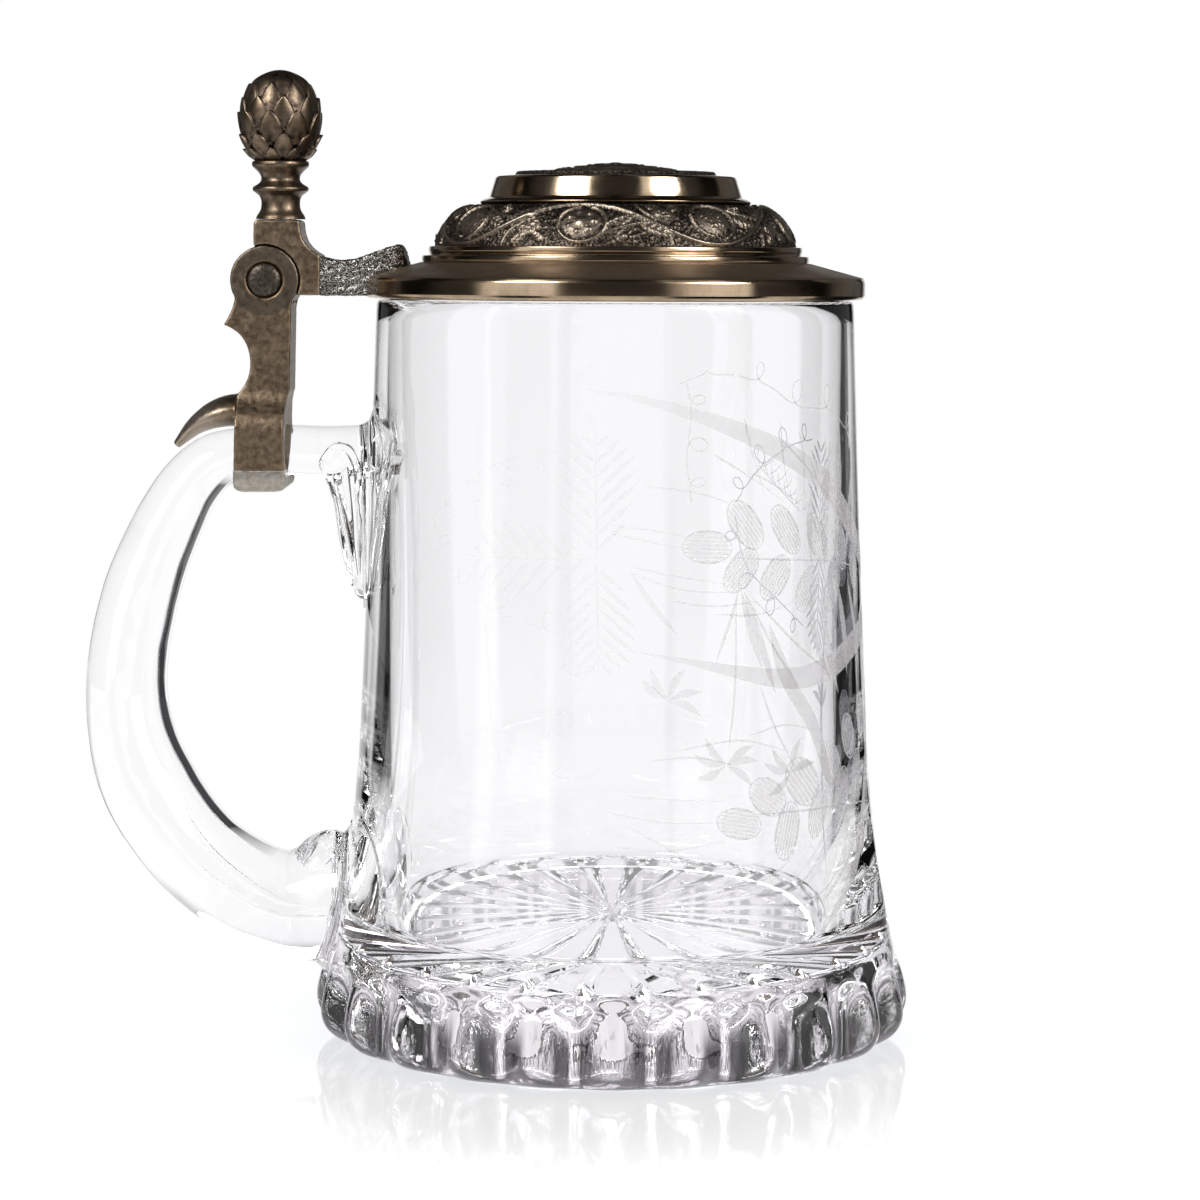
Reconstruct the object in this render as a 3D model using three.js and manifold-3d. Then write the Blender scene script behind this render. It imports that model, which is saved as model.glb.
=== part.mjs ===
// Lidded glass beer mug: a pressed glass tankard with an applied handle, a ribbed foot and
// a pewter lid on a five knuckle hinge. Millimetres, +Z up, the handle on the -X side.
// It is modelled round the mug's own axis, and shifted at the end so that the origin
// lies under the middle of the whole object, on the plane that it stands on.

import * as THREE from 'three';
import { mergeVertices } from 'three/addons/utils/BufferGeometryUtils.js';
import Module from 'manifold-3d';

const wasm = await Module();
wasm.setup();

const clearance = 0.3; // gap between pieces that touch

// Glass body
const rimHeight = 135.2;
const rimRadius = 43.3;
const boreRadius = 41.3;
const floorHeight = 21;
const floorFillet = 1.8;
const ribCount = 24;
const ribDepth = 4;
const recessHeight = 15;
const recessRadius = 40;
const starDepth = 1.2;

// Hinge and strap
const pivot = new THREE.Vector2(-63.4, 138.6);
const knuckleRadius = 6.2;
const knuckleSeat = knuckleRadius + 0.35;
const hingeWidth = 12.4;
const knuckleCount = 5;
const pinRadius = 1.5;
const pinHeadRadius = 2.8;
const countersinkRadius = 3.75;
const countersinkDepth = 0.6;
const cheekHalfWidth = 10;
const strapBottom = 104;
const strapBack = -72; // reach of the strap along X
const strapFace = -56;

// Lid
const lidBottom = rimHeight + clearance;
const lidRadius = 45.45;
const shelfRadius = 35.25;
const stepRadius = 34;
const domeFoot = new THREE.Vector2(33.3, 144.9);
const domeTop = new THREE.Vector2(24.8, 152.7);
const bandBottom = new THREE.Vector2(23, 153.4);
const bandTop = new THREE.Vector2(21.9, 157.7);
const medallionRadius = 18.6;
const lidWall = 1.9;

// Thumblift
const liftX = -60.9;
const liftBase = 149.8;
const liftTop = 176.8;
const coneRadius = 7.5;
const coneMiddle = 167;
const scaleRows = 5;
const scalesInRow = 8;

const glass = { color: 0xf2f5f6, roughness: 0.02, metalness: 0 };
const pewter = { color: 0x6b5d4f, roughness: 0.38, metalness: 1 };
const pouredPewter = { color: 0x8d8a86, roughness: 0.55, metalness: 1 };
const steel = { color: 0x77746f, roughness: 0.4, metalness: 1 };

const mug = new THREE.Group();

// Turns a closed geometry into a solid, with its faces pointing out.
function solid(geometry) {
  const bare = geometry.clone();
  bare.deleteAttribute('normal');
  bare.deleteAttribute('uv');
  const merged = mergeVertices(bare, 1e-4);
  const corners = merged.getAttribute('position').array;
  const index = merged.index.array;
  const triangles = [];
  let volume = 0;
  for (let i = 0; i < index.length; i += 3) {
    const [a, b, c] = index.slice(i, i + 3);
    if (a === b || b === c || c === a) continue;
    triangles.push(a, b, c);
    const [p, q, r] = [a, b, c].map((n) => new THREE.Vector3().fromArray(corners, 3 * n));
    volume += p.dot(q.cross(r));
  }
  if (volume < 0) triangles.reverse();
  const shape = { numProp: 3, vertProperties: Float32Array.from(corners), triVerts: Uint32Array.from(triangles) };
  return new wasm.Manifold(new wasm.Mesh(shape));
}

function addPiece(name, piece, look) {
  const mesh = piece.getMesh();
  const geometry = new THREE.BufferGeometry();
  geometry.setAttribute('position', new THREE.BufferAttribute(mesh.vertProperties, 3));
  geometry.setIndex(new THREE.BufferAttribute(mesh.triVerts, 1));
  geometry.computeVertexNormals();
  const object = new THREE.Mesh(geometry, new THREE.MeshStandardMaterial(look));
  object.name = name;
  mug.add(object);
}

// Turns a profile of radius and height points round the Z axis.
function revolve(profile, segments) {
  return solid(new THREE.LatheGeometry(profile, segments).rotateX(Math.PI / 2));
}

// Pushes an outline in X and Z out along Y, evenly to both sides or between two places.
function extrudeY(shape, from, to, curveSegments = 8) {
  const geometry = new THREE.ExtrudeGeometry(shape, { depth: to - from, bevelEnabled: false, curveSegments });
  return solid(geometry.rotateX(Math.PI / 2).translate(0, to, 0));
}

// Pushes an outline in Y and Z out along X.
function extrudeX(shape, from, to) {
  const geometry = new THREE.ExtrudeGeometry(shape, { depth: to - from, bevelEnabled: false, curveSegments: 6 });
  geometry.applyMatrix4(new THREE.Matrix4().set(0, 0, 1, from, 1, 0, 0, 0, 0, 1, 0, 0, 0, 0, 0, 1));
  return solid(geometry);
}

// Joins equal rings of points into a skin, with a fan over each end.
function loft(rings) {
  const sides = rings[0].length;
  const points = rings.flat();
  const index = [];
  for (let row = 0; row + 1 < rings.length; row++) {
    for (let i = 0; i < sides; i++) {
      const a = row * sides + i;
      const b = row * sides + ((i + 1) % sides);
      index.push(a, b, b + sides, a, b + sides, a + sides);
    }
  }
  for (const [ring, start] of [[rings[0], 0], [rings.at(-1), points.length - sides]]) {
    const middle = ring.reduce((sum, p) => sum.add(p), new THREE.Vector3()).divideScalar(sides);
    const centre = points.push(middle) - 1;
    for (let i = 0; i < sides; i++) {
      const pair = [start + i, start + ((i + 1) % sides)];
      if (start === 0) pair.reverse();
      index.push(centre, ...pair);
    }
  }
  const geometry = new THREE.BufferGeometry().setFromPoints(points);
  return solid(geometry.setIndex(index));
}

function arcPoints(x, z, radiusX, radiusZ, from, to, steps) {
  const curve = new THREE.EllipseCurve(x, z, radiusX, radiusZ, from, to, to < from);
  return curve.getPoints(steps);
}

function vectors(pairs) {
  return pairs.map(([x, y]) => new THREE.Vector2(x, y));
}

// Outside of the glass above the ribs, from the shoulder of the foot up to the rim.
const wallCurve = new THREE.SplineCurve(vectors([
  [52.6, 15], [50.6, 23.5], [48.5, 36], [46.9, 52], [45.4, 80], [44.3, 108], [rimRadius, 133.6],
]));

// The ribbed foot, from the edge that it stands on up to where the ribs fade.
const footCurve = new THREE.SplineCurve(vectors([[47.4, 0], [52.4, 1.6], [54.8, 6], [53.8, 11.5]]));
const ribFade = [0.06, 0.88]; // the ribs swell and fade along the foot as part of a half wave

// Cross section of the ribs, a rounded wave: 0 on a crest, 1 in the valley beside it.
function ribDrop(u) {
  return (1 - Math.cos(Math.PI * u)) / 2;
}

// Place round the ring, as the distance from the nearest crest: 0 on it, 1 in the valley.
function fromCrest(angle) {
  const turn = (angle / (2 * Math.PI)) * ribCount;
  return 2 * Math.abs(turn - Math.round(turn));
}

function ring(radius, z, depth = 0, groove = 0, sides = ribCount * 4) {
  return Array.from({ length: sides }, (_, i) => {
    const angle = (2 * Math.PI * i) / sides;
    const u = fromCrest(angle);
    const r = radius - depth * ribDrop(u);
    const lift = groove * Math.max(0, 2 * u - 1);
    return new THREE.Vector3(r * Math.cos(angle), r * Math.sin(angle), z + lift);
  });
}

function bodySkin() {
  const rings = [];
  const footSteps = 5;
  for (let i = 0; i <= footSteps; i++) {
    const t = i / footSteps;
    const { x, y } = footCurve.getPoint(t);
    rings.push(ring(x, y, ribDepth * Math.sin(Math.PI * THREE.MathUtils.lerp(...ribFade, t))));
  }
  const wallSteps = 6;
  for (let i = 0; i <= wallSteps; i++) {
    const t = (i / wallSteps) ** 1.2;
    const { x, y } = wallCurve.getPoint(t);
    rings.push(ring(x, y, i === 0 ? 0.4 : 0));
  }
  rings.push(ring(rimRadius - 0.4, rimHeight - 0.5), ring(rimRadius - 1, rimHeight));
  return loft(rings);
}

function cavity() {
  const corner = boreRadius - floorFillet;
  return revolve([
    new THREE.Vector2(0, floorHeight),
    ...arcPoints(corner, floorHeight + floorFillet, floorFillet, floorFillet, -Math.PI / 2, 0, 4),
    new THREE.Vector2(boreRadius, rimHeight - 0.8),
    new THREE.Vector2(boreRadius + 0.5, rimHeight + 0.1),
    new THREE.Vector2(boreRadius + 0.5, rimHeight + 2),
    new THREE.Vector2(0, rimHeight + 2),
  ], 48);
}

// The hollow under the foot. Its ceiling carries the pressed star, one ray to each valley.
function starRecess() {
  const rows = [[recessRadius + 0.9, -1, 0], [recessRadius, recessHeight - 2, 0], [recessRadius - 0.6, recessHeight - 0.6, 0],
    [recessRadius - 2, recessHeight, 0], [recessRadius - 4, recessHeight, 0.8], [recessRadius - 6, recessHeight, 1],
    [recessRadius / 2, recessHeight, 0.6], [3, recessHeight, 0]];
  return loft(rows.map(([radius, z, share]) => ring(radius, z, 0, share * starDepth)));
}

// Space that the glass body takes up, with a clearance round it, for cutting its neighbours.
function bodyEnvelope() {
  const above = wallCurve.getPoints(9).map((p) => new THREE.Vector2(p.x + clearance, p.y));
  const foot = footCurve.getPoints(6).map((p) => new THREE.Vector2(p.x + clearance, p.y));
  return revolve([new THREE.Vector2(0, -1), new THREE.Vector2(47, -1), ...foot, ...above,
    new THREE.Vector2(rimRadius + clearance, rimHeight), new THREE.Vector2(0, rimHeight)], 96);
}

// Handle: the path of its middle, with half its thickness and half its width at each place.
const handleStations = [
  [-40, 107, 5.2, 8.6], [-52, 107.3, 4.8, 7.8], [-64, 107.5, 4.4, 7.4], [-74.5, 104.5, 5.3, 7.8],
  [-82.5, 92.5, 6.4, 8.4], [-88, 76.5, 7.2, 8.9], [-89.6, 61, 7.6, 9.3], [-86, 46.5, 8.7, 9.7],
  [-76.3, 32.3, 8.9, 10.2], [-62.5, 24, 9.7, 11], [-50, 24.4, 12.2, 12.5], [-44, 24.4, 12.4, 12.5],
];

// The tongue of glass that ran down the wall under the handle's upper end.
const tongueStations = [
  [-46, 106, 4.6, 7], [-47.4, 97, 3.4, 5.2], [-46.6, 88, 2.6, 3.6], [-45.9, 80.6, 1, 1.2],
];

// The leaf shaped tang that lies on the handle and steadies the thumb.
const tangStations = [
  [-64, 115.2, 3, 6.6], [-71.2, 114.6, 2.8, 6.9], [-76.2, 112.3, 1.8, 5], [-80.2, 108.4, 0.7, 1.4],
];

// A bar of oval section along stations in the XZ plane.
function ovalBar(stations, steps, sides, swell = 0) {
  const path = new THREE.CatmullRomCurve3(stations.map(([x, z]) => new THREE.Vector3(x, 0, z)));
  const size = new THREE.CatmullRomCurve3(stations.map(([, , thick, wide]) => new THREE.Vector3(thick, wide, 0)));
  const rings = [];
  for (let i = 0; i <= steps; i++) {
    const middle = path.getPoint(i / steps);
    const along = path.getTangent(i / steps);
    const up = new THREE.Vector3(-along.z, 0, along.x);
    const { x: thick, y: wide } = size.getPoint(i / steps);
    rings.push(Array.from({ length: sides }, (_, k) => {
      const angle = (2 * Math.PI * k) / sides;
      const p = middle.clone().addScaledVector(up, (thick + swell) * Math.cos(angle));
      p.y = (wide + swell) * Math.sin(angle);
      return p;
    }));
  }
  return loft(rings);
}

function handleBar(swell) {
  return ovalBar(handleStations, 26, 14, swell);
}

// Knuckles: even ones belong to the strap, odd ones to the lid's arm.
const knuckleWidth = (hingeWidth - (knuckleCount - 1) * clearance) / knuckleCount;

function knuckleSlots(first, radius) {
  const slots = [];
  for (let k = first; k < knuckleCount; k += 2) {
    const start = -hingeWidth / 2 + k * (knuckleWidth + clearance);
    const from = k === 0 ? start - 2 : start - clearance;
    const to = k === knuckleCount - 1 ? start + knuckleWidth + 2 : start + knuckleWidth + clearance;
    slots.push(disc(radius, from, to, 32));
  }
  return slots.reduce((all, slot) => all.add(slot));
}

// A round disc on the pivot, between two places along Y.
function disc(radius, from, to, segments) {
  const geometry = new THREE.CylinderGeometry(radius, radius, to - from, segments);
  return solid(geometry.translate(pivot.x, (from + to) / 2, pivot.y));
}

// Strap seen from the side: knuckle, neck with its pointed nose, and the cheeks.
function strapOutline() {
  const shape = new THREE.Shape();
  const right = -0.62;
  const left = -2.62;
  shape.absarc(pivot.x, pivot.y, knuckleRadius, right, left, false);
  shape.quadraticCurveTo(-68.9, 133.4, -70.8, 130.5);
  shape.quadraticCurveTo(-66.2, 129, -66, 123.6);
  shape.quadraticCurveTo(-66, 120.4, -68.5, 117.8);
  shape.lineTo(-68.8, strapBottom);
  shape.lineTo(-59.6, strapBottom);
  shape.lineTo(-59.8, 113);
  shape.quadraticCurveTo(-59.6, 117, -58.9, 118.6);
  shape.lineTo(-58.6, 133.4);
  shape.closePath();
  return shape;
}

// Strap seen along X: as narrow as the hinge at the top, spread round the handle below.
function strapFront(halfWidth, bottom) {
  const top = pivot.y + knuckleRadius + 1;
  const half = hingeWidth / 2;
  const shape = new THREE.Shape();
  shape.moveTo(half, top);
  shape.lineTo(half, 119.5);
  shape.bezierCurveTo(half, 115.5, halfWidth, 115.5, halfWidth, 111);
  shape.lineTo(halfWidth, bottom);
  shape.lineTo(-halfWidth, bottom);
  shape.lineTo(-halfWidth, 111);
  shape.bezierCurveTo(-halfWidth, 115.5, -half, 115.5, -half, 119.5);
  shape.lineTo(-half, top);
  return shape;
}

function strap() {
  const side = extrudeY(strapOutline(), -cheekHalfWidth - 1, cheekHalfWidth + 1);
  const front = extrudeX(strapFront(cheekHalfWidth, strapBottom - 1), strapBack, strapFace);
  const tang = ovalBar(tangStations, 9, 12);
  const half = hingeWidth / 2;
  return side.intersect(front)
    .add(tang)
    .subtract(handleBar(clearance))
    .subtract(knuckleSlots(1, knuckleSeat))
    .subtract(disc(pinRadius + clearance, -half - 1, half + 1, 24))
    .subtract(disc(countersinkRadius, half - countersinkDepth, half + 1, 32))
    .subtract(disc(countersinkRadius, -half - 1, countersinkDepth - half, 32));
}

// The bar poured under the handle, which closes the strap.
function closure() {
  const side = new THREE.Shape();
  side.moveTo(-70.4, strapBottom - clearance);
  side.quadraticCurveTo(-70.4, 100.4, -66.5, 100.2);
  side.lineTo(-61, 100.5);
  side.quadraticCurveTo(-58.8, 100.8, -58.8, strapBottom - clearance);
  side.closePath();
  const halfWidth = cheekHalfWidth + 0.2;
  const front = new THREE.Shape();
  front.moveTo(halfWidth, strapBottom + 1);
  front.quadraticCurveTo(halfWidth, 100, halfWidth - 4, 100);
  front.lineTo(4 - halfWidth, 100);
  front.quadraticCurveTo(-halfWidth, 100, -halfWidth, strapBottom + 1);
  front.closePath();
  return extrudeY(side, -halfWidth - 1, halfWidth + 1)
    .intersect(extrudeX(front, strapBack, strapFace))
    .subtract(handleBar(clearance));
}

// Rivet through the knuckles, with a low round head in each countersink.
function pin() {
  const floor = hingeWidth / 2 - countersinkDepth + clearance;
  const profile = vectors([
    [0, -floor - 1.1], [1.6, -floor - 1], [pinHeadRadius, -floor - 0.4], [pinHeadRadius, -floor],
    [pinRadius, -floor], [pinRadius, floor], [pinHeadRadius, floor], [pinHeadRadius, floor + 0.4],
    [1.6, floor + 1], [0, floor + 1.1],
  ]);
  const geometry = new THREE.LatheGeometry(profile, 24);
  return solid(geometry.translate(pivot.x, 0, pivot.y));
}

// Lid's arm seen from the side: its knuckles, the block above them and the arm's root.
const armEnd = -53.3;
const armBottom = 135.9;

function arm() {
  const shape = new THREE.Shape();
  const start = Math.asin((armBottom - pivot.y) / knuckleRadius);
  const end = 1.89;
  shape.absarc(pivot.x, pivot.y, knuckleRadius, start, end, true);
  shape.lineTo(-65.3, 148.5);
  shape.quadraticCurveTo(-65.3, 149.5, -64.3, 149.5);
  shape.lineTo(-57.9, 149.5);
  shape.quadraticCurveTo(-56.9, 149.5, -56.9, 148.5);
  shape.bezierCurveTo(-56.9, 145.6, -55.3, 144, armEnd, 143.1);
  shape.lineTo(armEnd, armBottom);
  shape.closePath();
  const half = hingeWidth / 2;
  return extrudeY(shape, -half, half, 16)
    .subtract(knuckleSlots(0, knuckleSeat))
    .subtract(disc(pinRadius + clearance, -half - 1, half + 1, 24));
}

// Lid's outside, as radius and height, from the medallion's seat down to the flange.
const medallionSeat = bandTop.y - 0.5;
const domeSide = new THREE.Vector2(domeFoot.x - 1.4, domeTop.y);

function lidOutside() {
  return [
    ...vectors([[0, medallionSeat], [medallionRadius + clearance, medallionSeat]]),
    ...vectors([[medallionRadius + clearance, bandTop.y + 0.6], [bandTop.x - 0.6, bandTop.y + 0.4]]),
    bandTop, bandBottom, new THREE.Vector2(bandBottom.x + 1.7, bandBottom.y - 0.1), domeTop,
    ...new THREE.QuadraticBezierCurve(domeTop, domeSide, domeFoot).getPoints(4).slice(1),
    ...vectors([[stepRadius, domeFoot.y - 0.2], [stepRadius, 143.3], [shelfRadius, 143.1], [shelfRadius, 142]]),
    ...vectors([[lidRadius - 0.3, 139.3], [lidRadius, 139], [lidRadius, lidBottom + 0.4], [lidRadius - 0.4, lidBottom]]),
  ];
}

// Underside: a flat seat for the rim, then a hollow that follows the outside.
function lidInside() {
  return vectors([
    [39.6, lidBottom], [39, lidBottom + 1.6], [shelfRadius - 1.6, 140],
    [domeFoot.x - lidWall, 143], [30, 146.2], [27.6, 149], [23.4, 151.4],
    [bandTop.x - lidWall, 152], [bandTop.x - lidWall - 0.8, medallionSeat - lidWall], [0, medallionSeat - lidWall],
  ]);
}

function lid() {
  return revolve([...lidOutside(), ...lidInside()], 54);
}

// The metal poured round the arm's end, over the flange and up on to the shelf.
function solderJoint() {
  const side = new THREE.Shape();
  const start = armEnd + clearance;
  side.moveTo(start, armBottom);
  side.lineTo(start, 142.7);
  side.quadraticCurveTo(-50, 141.4, -45.5, 142.7);
  side.lineTo(-39.4, 144.9);
  side.quadraticCurveTo(-38.2, 144.9, -37.6, 141);
  side.lineTo(-44, 138.5);
  side.lineTo(-44, armBottom);
  side.closePath();
  const plan = new THREE.Shape();
  plan.moveTo(start - 1, hingeWidth / 2 - 0.3);
  plan.bezierCurveTo(-49, 5.6, -46, 7.6, -42, 7.6);
  plan.bezierCurveTo(-38, 7.4, -37, 3, -37, 0);
  plan.bezierCurveTo(-37, -3, -38, -7.4, -42, -7.6);
  plan.bezierCurveTo(-46, -7.6, -49, -5.6, start - 1, 0.3 - hingeWidth / 2);
  plan.closePath();
  const foot = armBottom - 2;
  const column = new THREE.ExtrudeGeometry(plan, { depth: 12, bevelEnabled: false, curveSegments: 6 });
  const envelope = revolve(vectors([
    [0, 132], [lidRadius + clearance, 132], [lidRadius + clearance, 139.2], [shelfRadius + clearance, 142.3],
    [shelfRadius + clearance, 148], [0, 148],
  ]), 72);
  return extrudeY(side, -hingeWidth, hingeWidth).intersect(solid(column.translate(0, 0, foot))).subtract(envelope);
}

// The relief disc in the lid's top: a raised border and a low dome with a rosette on it.
function medallion() {
  const bottom = medallionSeat + clearance;
  const disk = revolve(vectors([
    [0, bottom], [medallionRadius, bottom], [medallionRadius, bottom + 0.7], [medallionRadius - 0.5, bottom + 1.1],
    [medallionRadius - 1.6, bottom + 1.1], [medallionRadius - 2.2, bottom + 0.8], [12, bottom + 1.7], [0, bottom + 2.1],
  ]), 32);
  const petals = [];
  for (let i = 0; i < 8; i++) {
    const petal = new THREE.SphereGeometry(1, 6, 4);
    petal.scale(4, 1.7, 0.9);
    petal.translate(6.6, 0, bottom + 1.8);
    petals.push(solid(petal.rotateZ((i * Math.PI) / 4)));
  }
  const boss = solid(new THREE.SphereGeometry(2.4, 10, 4).scale(1, 1, 0.4).translate(0, 0, bottom + 1.9));
  return petals.reduce((all, petal) => all.add(petal), disk).add(boss);
}

// Radius of the hop cone under its scales, at a height.
function coneSkin(z) {
  const half = z > coneMiddle ? liftTop - 0.4 - coneMiddle : coneMiddle - 158;
  return (coneRadius - 0.5) * Math.sqrt(Math.max(0, 1 - ((z - coneMiddle) / half) ** 2));
}

// One pointed scale, its root sunk into the cone and its tip standing off it.
function coneScale(z, height, angle) {
  const halfWidth = (Math.PI * (coneSkin(z) + 1)) / scalesInRow + 0.25;
  const place = (side, up, proud) => {
    const level = z + up * height;
    return new THREE.Vector3(coneSkin(level) + proud, side * halfWidth, level);
  };
  const front = [place(0, -0.45, 0.3), place(0.85, 0.15, -0.15), place(0, 0.8, 0.8), place(-0.85, 0.15, -0.15)];
  const back = front.map((p) => p.clone().add(new THREE.Vector3(-1.6, 0, 0)));
  const turned = [back, front].map((points) => points.map((p) => p.applyAxisAngle(new THREE.Vector3(0, 0, 1), angle)));
  return loft(turned);
}

// Turned baluster that ends in a hop cone.
function thumblift() {
  const baluster = vectors([
    [0, liftBase], [3.9, liftBase], [3.45, liftBase + 1], [3.4, 152.6], [4.8, 154.5], [5, 155.2], [4.8, 155.9],
    [3.6, 156.6], [3.6, 157.4], [4.2, 158.8], [5, 159.4], [5, 160.2],
  ]);
  const skin = [160.6, 161.8, 163.6, 167, 170.5, 173.4, 175.4].map((z) => new THREE.Vector2(coneSkin(z), z));
  let piece = revolve([...baluster, ...skin, new THREE.Vector2(0, liftTop - 0.4)], 16);
  const bottom = 161.2;
  const height = (liftTop - 1.6 - bottom) / scaleRows;
  for (let row = 0; row < scaleRows; row++) {
    for (let i = 0; i < scalesInRow; i++) {
      const angle = ((i + (row % 2) / 2) * 2 * Math.PI) / scalesInRow;
      piece = piece.add(coneScale(bottom + (row + 0.4) * height, 1.5 * height, angle));
    }
  }
  return piece.translate([liftX, 0, 0]);
}

const envelope = bodyEnvelope();
const tongue = ovalBar(tongueStations, 8, 12);

addPiece('glass_body', bodySkin().subtract(cavity()).subtract(starRecess()), glass);
addPiece('glass_handle', handleBar(0).add(tongue).subtract(envelope), glass);
addPiece('handle_strap', strap(), pewter);
addPiece('strap_closure', closure(), pouredPewter);
addPiece('hinge_pin', pin(), steel);
addPiece('hinge_arm', arm(), pewter);
addPiece('thumblift', thumblift(), pewter);
addPiece('lid_solder', solderJoint(), pouredPewter);
addPiece('lid', lid(), pewter);
addPiece('lid_medallion', medallion(), pewter);

const middle = new THREE.Box3().setFromObject(mug).getCenter(new THREE.Vector3());
mug.position.x = -middle.x;

export default mug;
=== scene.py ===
# A lidded glass beer mug: a clear pressed tankard with a ribbed foot and cut hops and barley,
# under an antique pewter lid on a five knuckle hinge. The dictionaries hold millimetres round
# the mug's own axis, with the handle on the -X side and the front at -Y.
import math
import bpy
import bmesh
import numpy as np
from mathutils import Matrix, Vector, noise


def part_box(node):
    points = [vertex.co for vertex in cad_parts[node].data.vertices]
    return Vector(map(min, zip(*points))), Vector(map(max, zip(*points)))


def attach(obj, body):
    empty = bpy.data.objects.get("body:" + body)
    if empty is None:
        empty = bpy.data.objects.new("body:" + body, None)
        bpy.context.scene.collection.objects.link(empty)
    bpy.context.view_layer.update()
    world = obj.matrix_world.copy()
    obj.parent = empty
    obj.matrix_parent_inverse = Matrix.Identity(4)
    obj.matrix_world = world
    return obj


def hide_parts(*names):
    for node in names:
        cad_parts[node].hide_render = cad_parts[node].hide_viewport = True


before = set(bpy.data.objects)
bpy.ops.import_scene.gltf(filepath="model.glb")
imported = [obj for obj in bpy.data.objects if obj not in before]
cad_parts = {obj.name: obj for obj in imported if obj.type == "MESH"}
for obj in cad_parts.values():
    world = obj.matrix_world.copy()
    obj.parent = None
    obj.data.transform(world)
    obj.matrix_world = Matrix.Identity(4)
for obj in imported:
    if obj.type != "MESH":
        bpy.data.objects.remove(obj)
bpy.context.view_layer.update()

mm = 0.001
lidLow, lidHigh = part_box("lid")
axisX = (lidLow.x + lidHigh.x) / 2  # the mug's own axis, in metres


# Small tools for curves and meshes

def curveThrough(points, steps):
    # smooth curve through rows of numbers of any width
    p = np.array(points, float)
    p = np.vstack([2 * p[0] - p[1], p, 2 * p[-1] - p[-2]])
    t = np.linspace(0, 1, steps, endpoint=False)[:, None]
    parts = []
    for a, b, c, d in zip(p, p[1:], p[2:], p[3:]):
        parts.append((2 * b + (c - a) * t + (2 * a - 5 * b + 4 * c - d) * t**2
                      + (3 * b - a - 3 * c + d) * t**3) / 2)
    return np.vstack(parts + [p[-2:-1]])


def bezier(points, t):
    # a curve from the first point to the last, pulled by those between
    last = len(points) - 1
    return sum(math.comb(last, k) * t**k * (1 - t)**(last - k) * p for k, p in enumerate(points))


def alongLine(line):
    # unit steps along a flat line, and the same turned left
    heading = np.gradient(line, axis=0)
    heading /= np.maximum(np.linalg.norm(heading, axis=1), 1e-9)[:, None]
    return heading, np.stack([-heading[:, 1], heading[:, 0]], -1)


def lengthAlong(line):
    return np.concatenate([[0], np.cumsum(np.linalg.norm(np.diff(line, axis=0), axis=1))])


def roundedProfile(corners, steps=4):
    # corners are (radius, height) or (radius, height, rounding)
    points = [np.array(c[:2], float) for c in corners]
    out = []
    for i, corner in enumerate(corners):
        here = points[i]
        if len(corner) < 3 or i in (0, len(corners) - 1):
            out.append(here)
            continue
        ends = []
        for other in (points[i - 1], points[i + 1]):
            length = np.linalg.norm(other - here)
            ends.append(here + (other - here) / length * min(corner[2], length * 0.48))
        out += [bezier([ends[0], here, ends[1]], t) for t in np.linspace(0, 1, steps + 1)]
    return np.array(out)


def fineRows(profile, longest):
    # adds rows so that no step along the profile is longer than this
    out = [profile[0]]
    for a, b in zip(profile, profile[1:]):
        count = max(1, math.ceil(np.linalg.norm(b - a) / longest))
        out += [a + (b - a) * k / count for k in range(1, count + 1)]
    return np.array(out)


def roundAngles(columns):
    return np.arange(columns) * 2 * math.pi / columns


def roundPoints(radius, angle, z):
    return np.stack([radius * np.cos(angle), radius * np.sin(angle), z + 0 * angle], -1)


def turned(profile, columns):
    return roundPoints(profile[:, :1], roundAngles(columns), profile[:, 1:2])


def gridFaces(rows, columns, ring):
    index = np.arange(rows * columns).reshape(rows, columns)
    if ring:
        index = np.vstack([index, index[:1]])
    a, b = index[:-1], index[1:]
    faces = np.stack([a, np.roll(a, -1, 1), np.roll(b, -1, 1), b], -1).reshape(-1, 4).tolist()
    if not ring:
        faces += [index[0][::-1].tolist(), index[-1].tolist()]
    return faces


def meshPiece(name, points, faces, finishes=(), faceFinish=None, sharpAngle=38):
    # points in millimetres round the mug's axis; the piece lies in the frame, in metres
    points = np.array(points, float).reshape(-1, 3) * mm
    points[:, 0] += axisX
    mesh = bpy.data.meshes.new(name)
    mesh.from_pydata(points.tolist(), [], faces)
    if faceFinish is not None:
        mesh.polygons.foreach_set("material_index", np.array(faceFinish, np.int32))
    work = bmesh.new()
    work.from_mesh(mesh)
    bmesh.ops.remove_doubles(work, verts=work.verts, dist=1e-7)
    bmesh.ops.recalc_face_normals(work, faces=work.faces)
    work.to_mesh(mesh)
    work.free()
    piece = bpy.data.objects.new(name, mesh)
    bpy.context.scene.collection.objects.link(piece)
    for finish in finishes:
        mesh.materials.append(finish)
    smoothShade(piece, sharpAngle)
    return piece


def smoothShade(piece, sharpAngle):
    piece.data.polygons.foreach_set("use_smooth", [True] * len(piece.data.polygons))
    piece.data.set_sharp_from_angle(angle=math.radians(sharpAngle))


def gridPiece(name, grid, finishes=(), ring=False, rowFinish=None, sharpAngle=38):
    rows, columns = grid.shape[:2]
    faceFinish = None
    if rowFinish is not None:
        faceFinish = np.repeat(rowFinish, columns).tolist()
        faceFinish += [] if ring else [rowFinish[0], rowFinish[-1]]
    return meshPiece(name, grid, gridFaces(rows, columns, ring), finishes, faceFinish, sharpAngle)


def handOver(piece, bodyName, slot, *nodes):
    # the piece moves with its body and takes the place of the solids of these names
    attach(piece, bodyName)
    if nodes:
        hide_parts(*nodes)
    print(piece.name + ":", len(piece.data.polygons), "faces")


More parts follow.
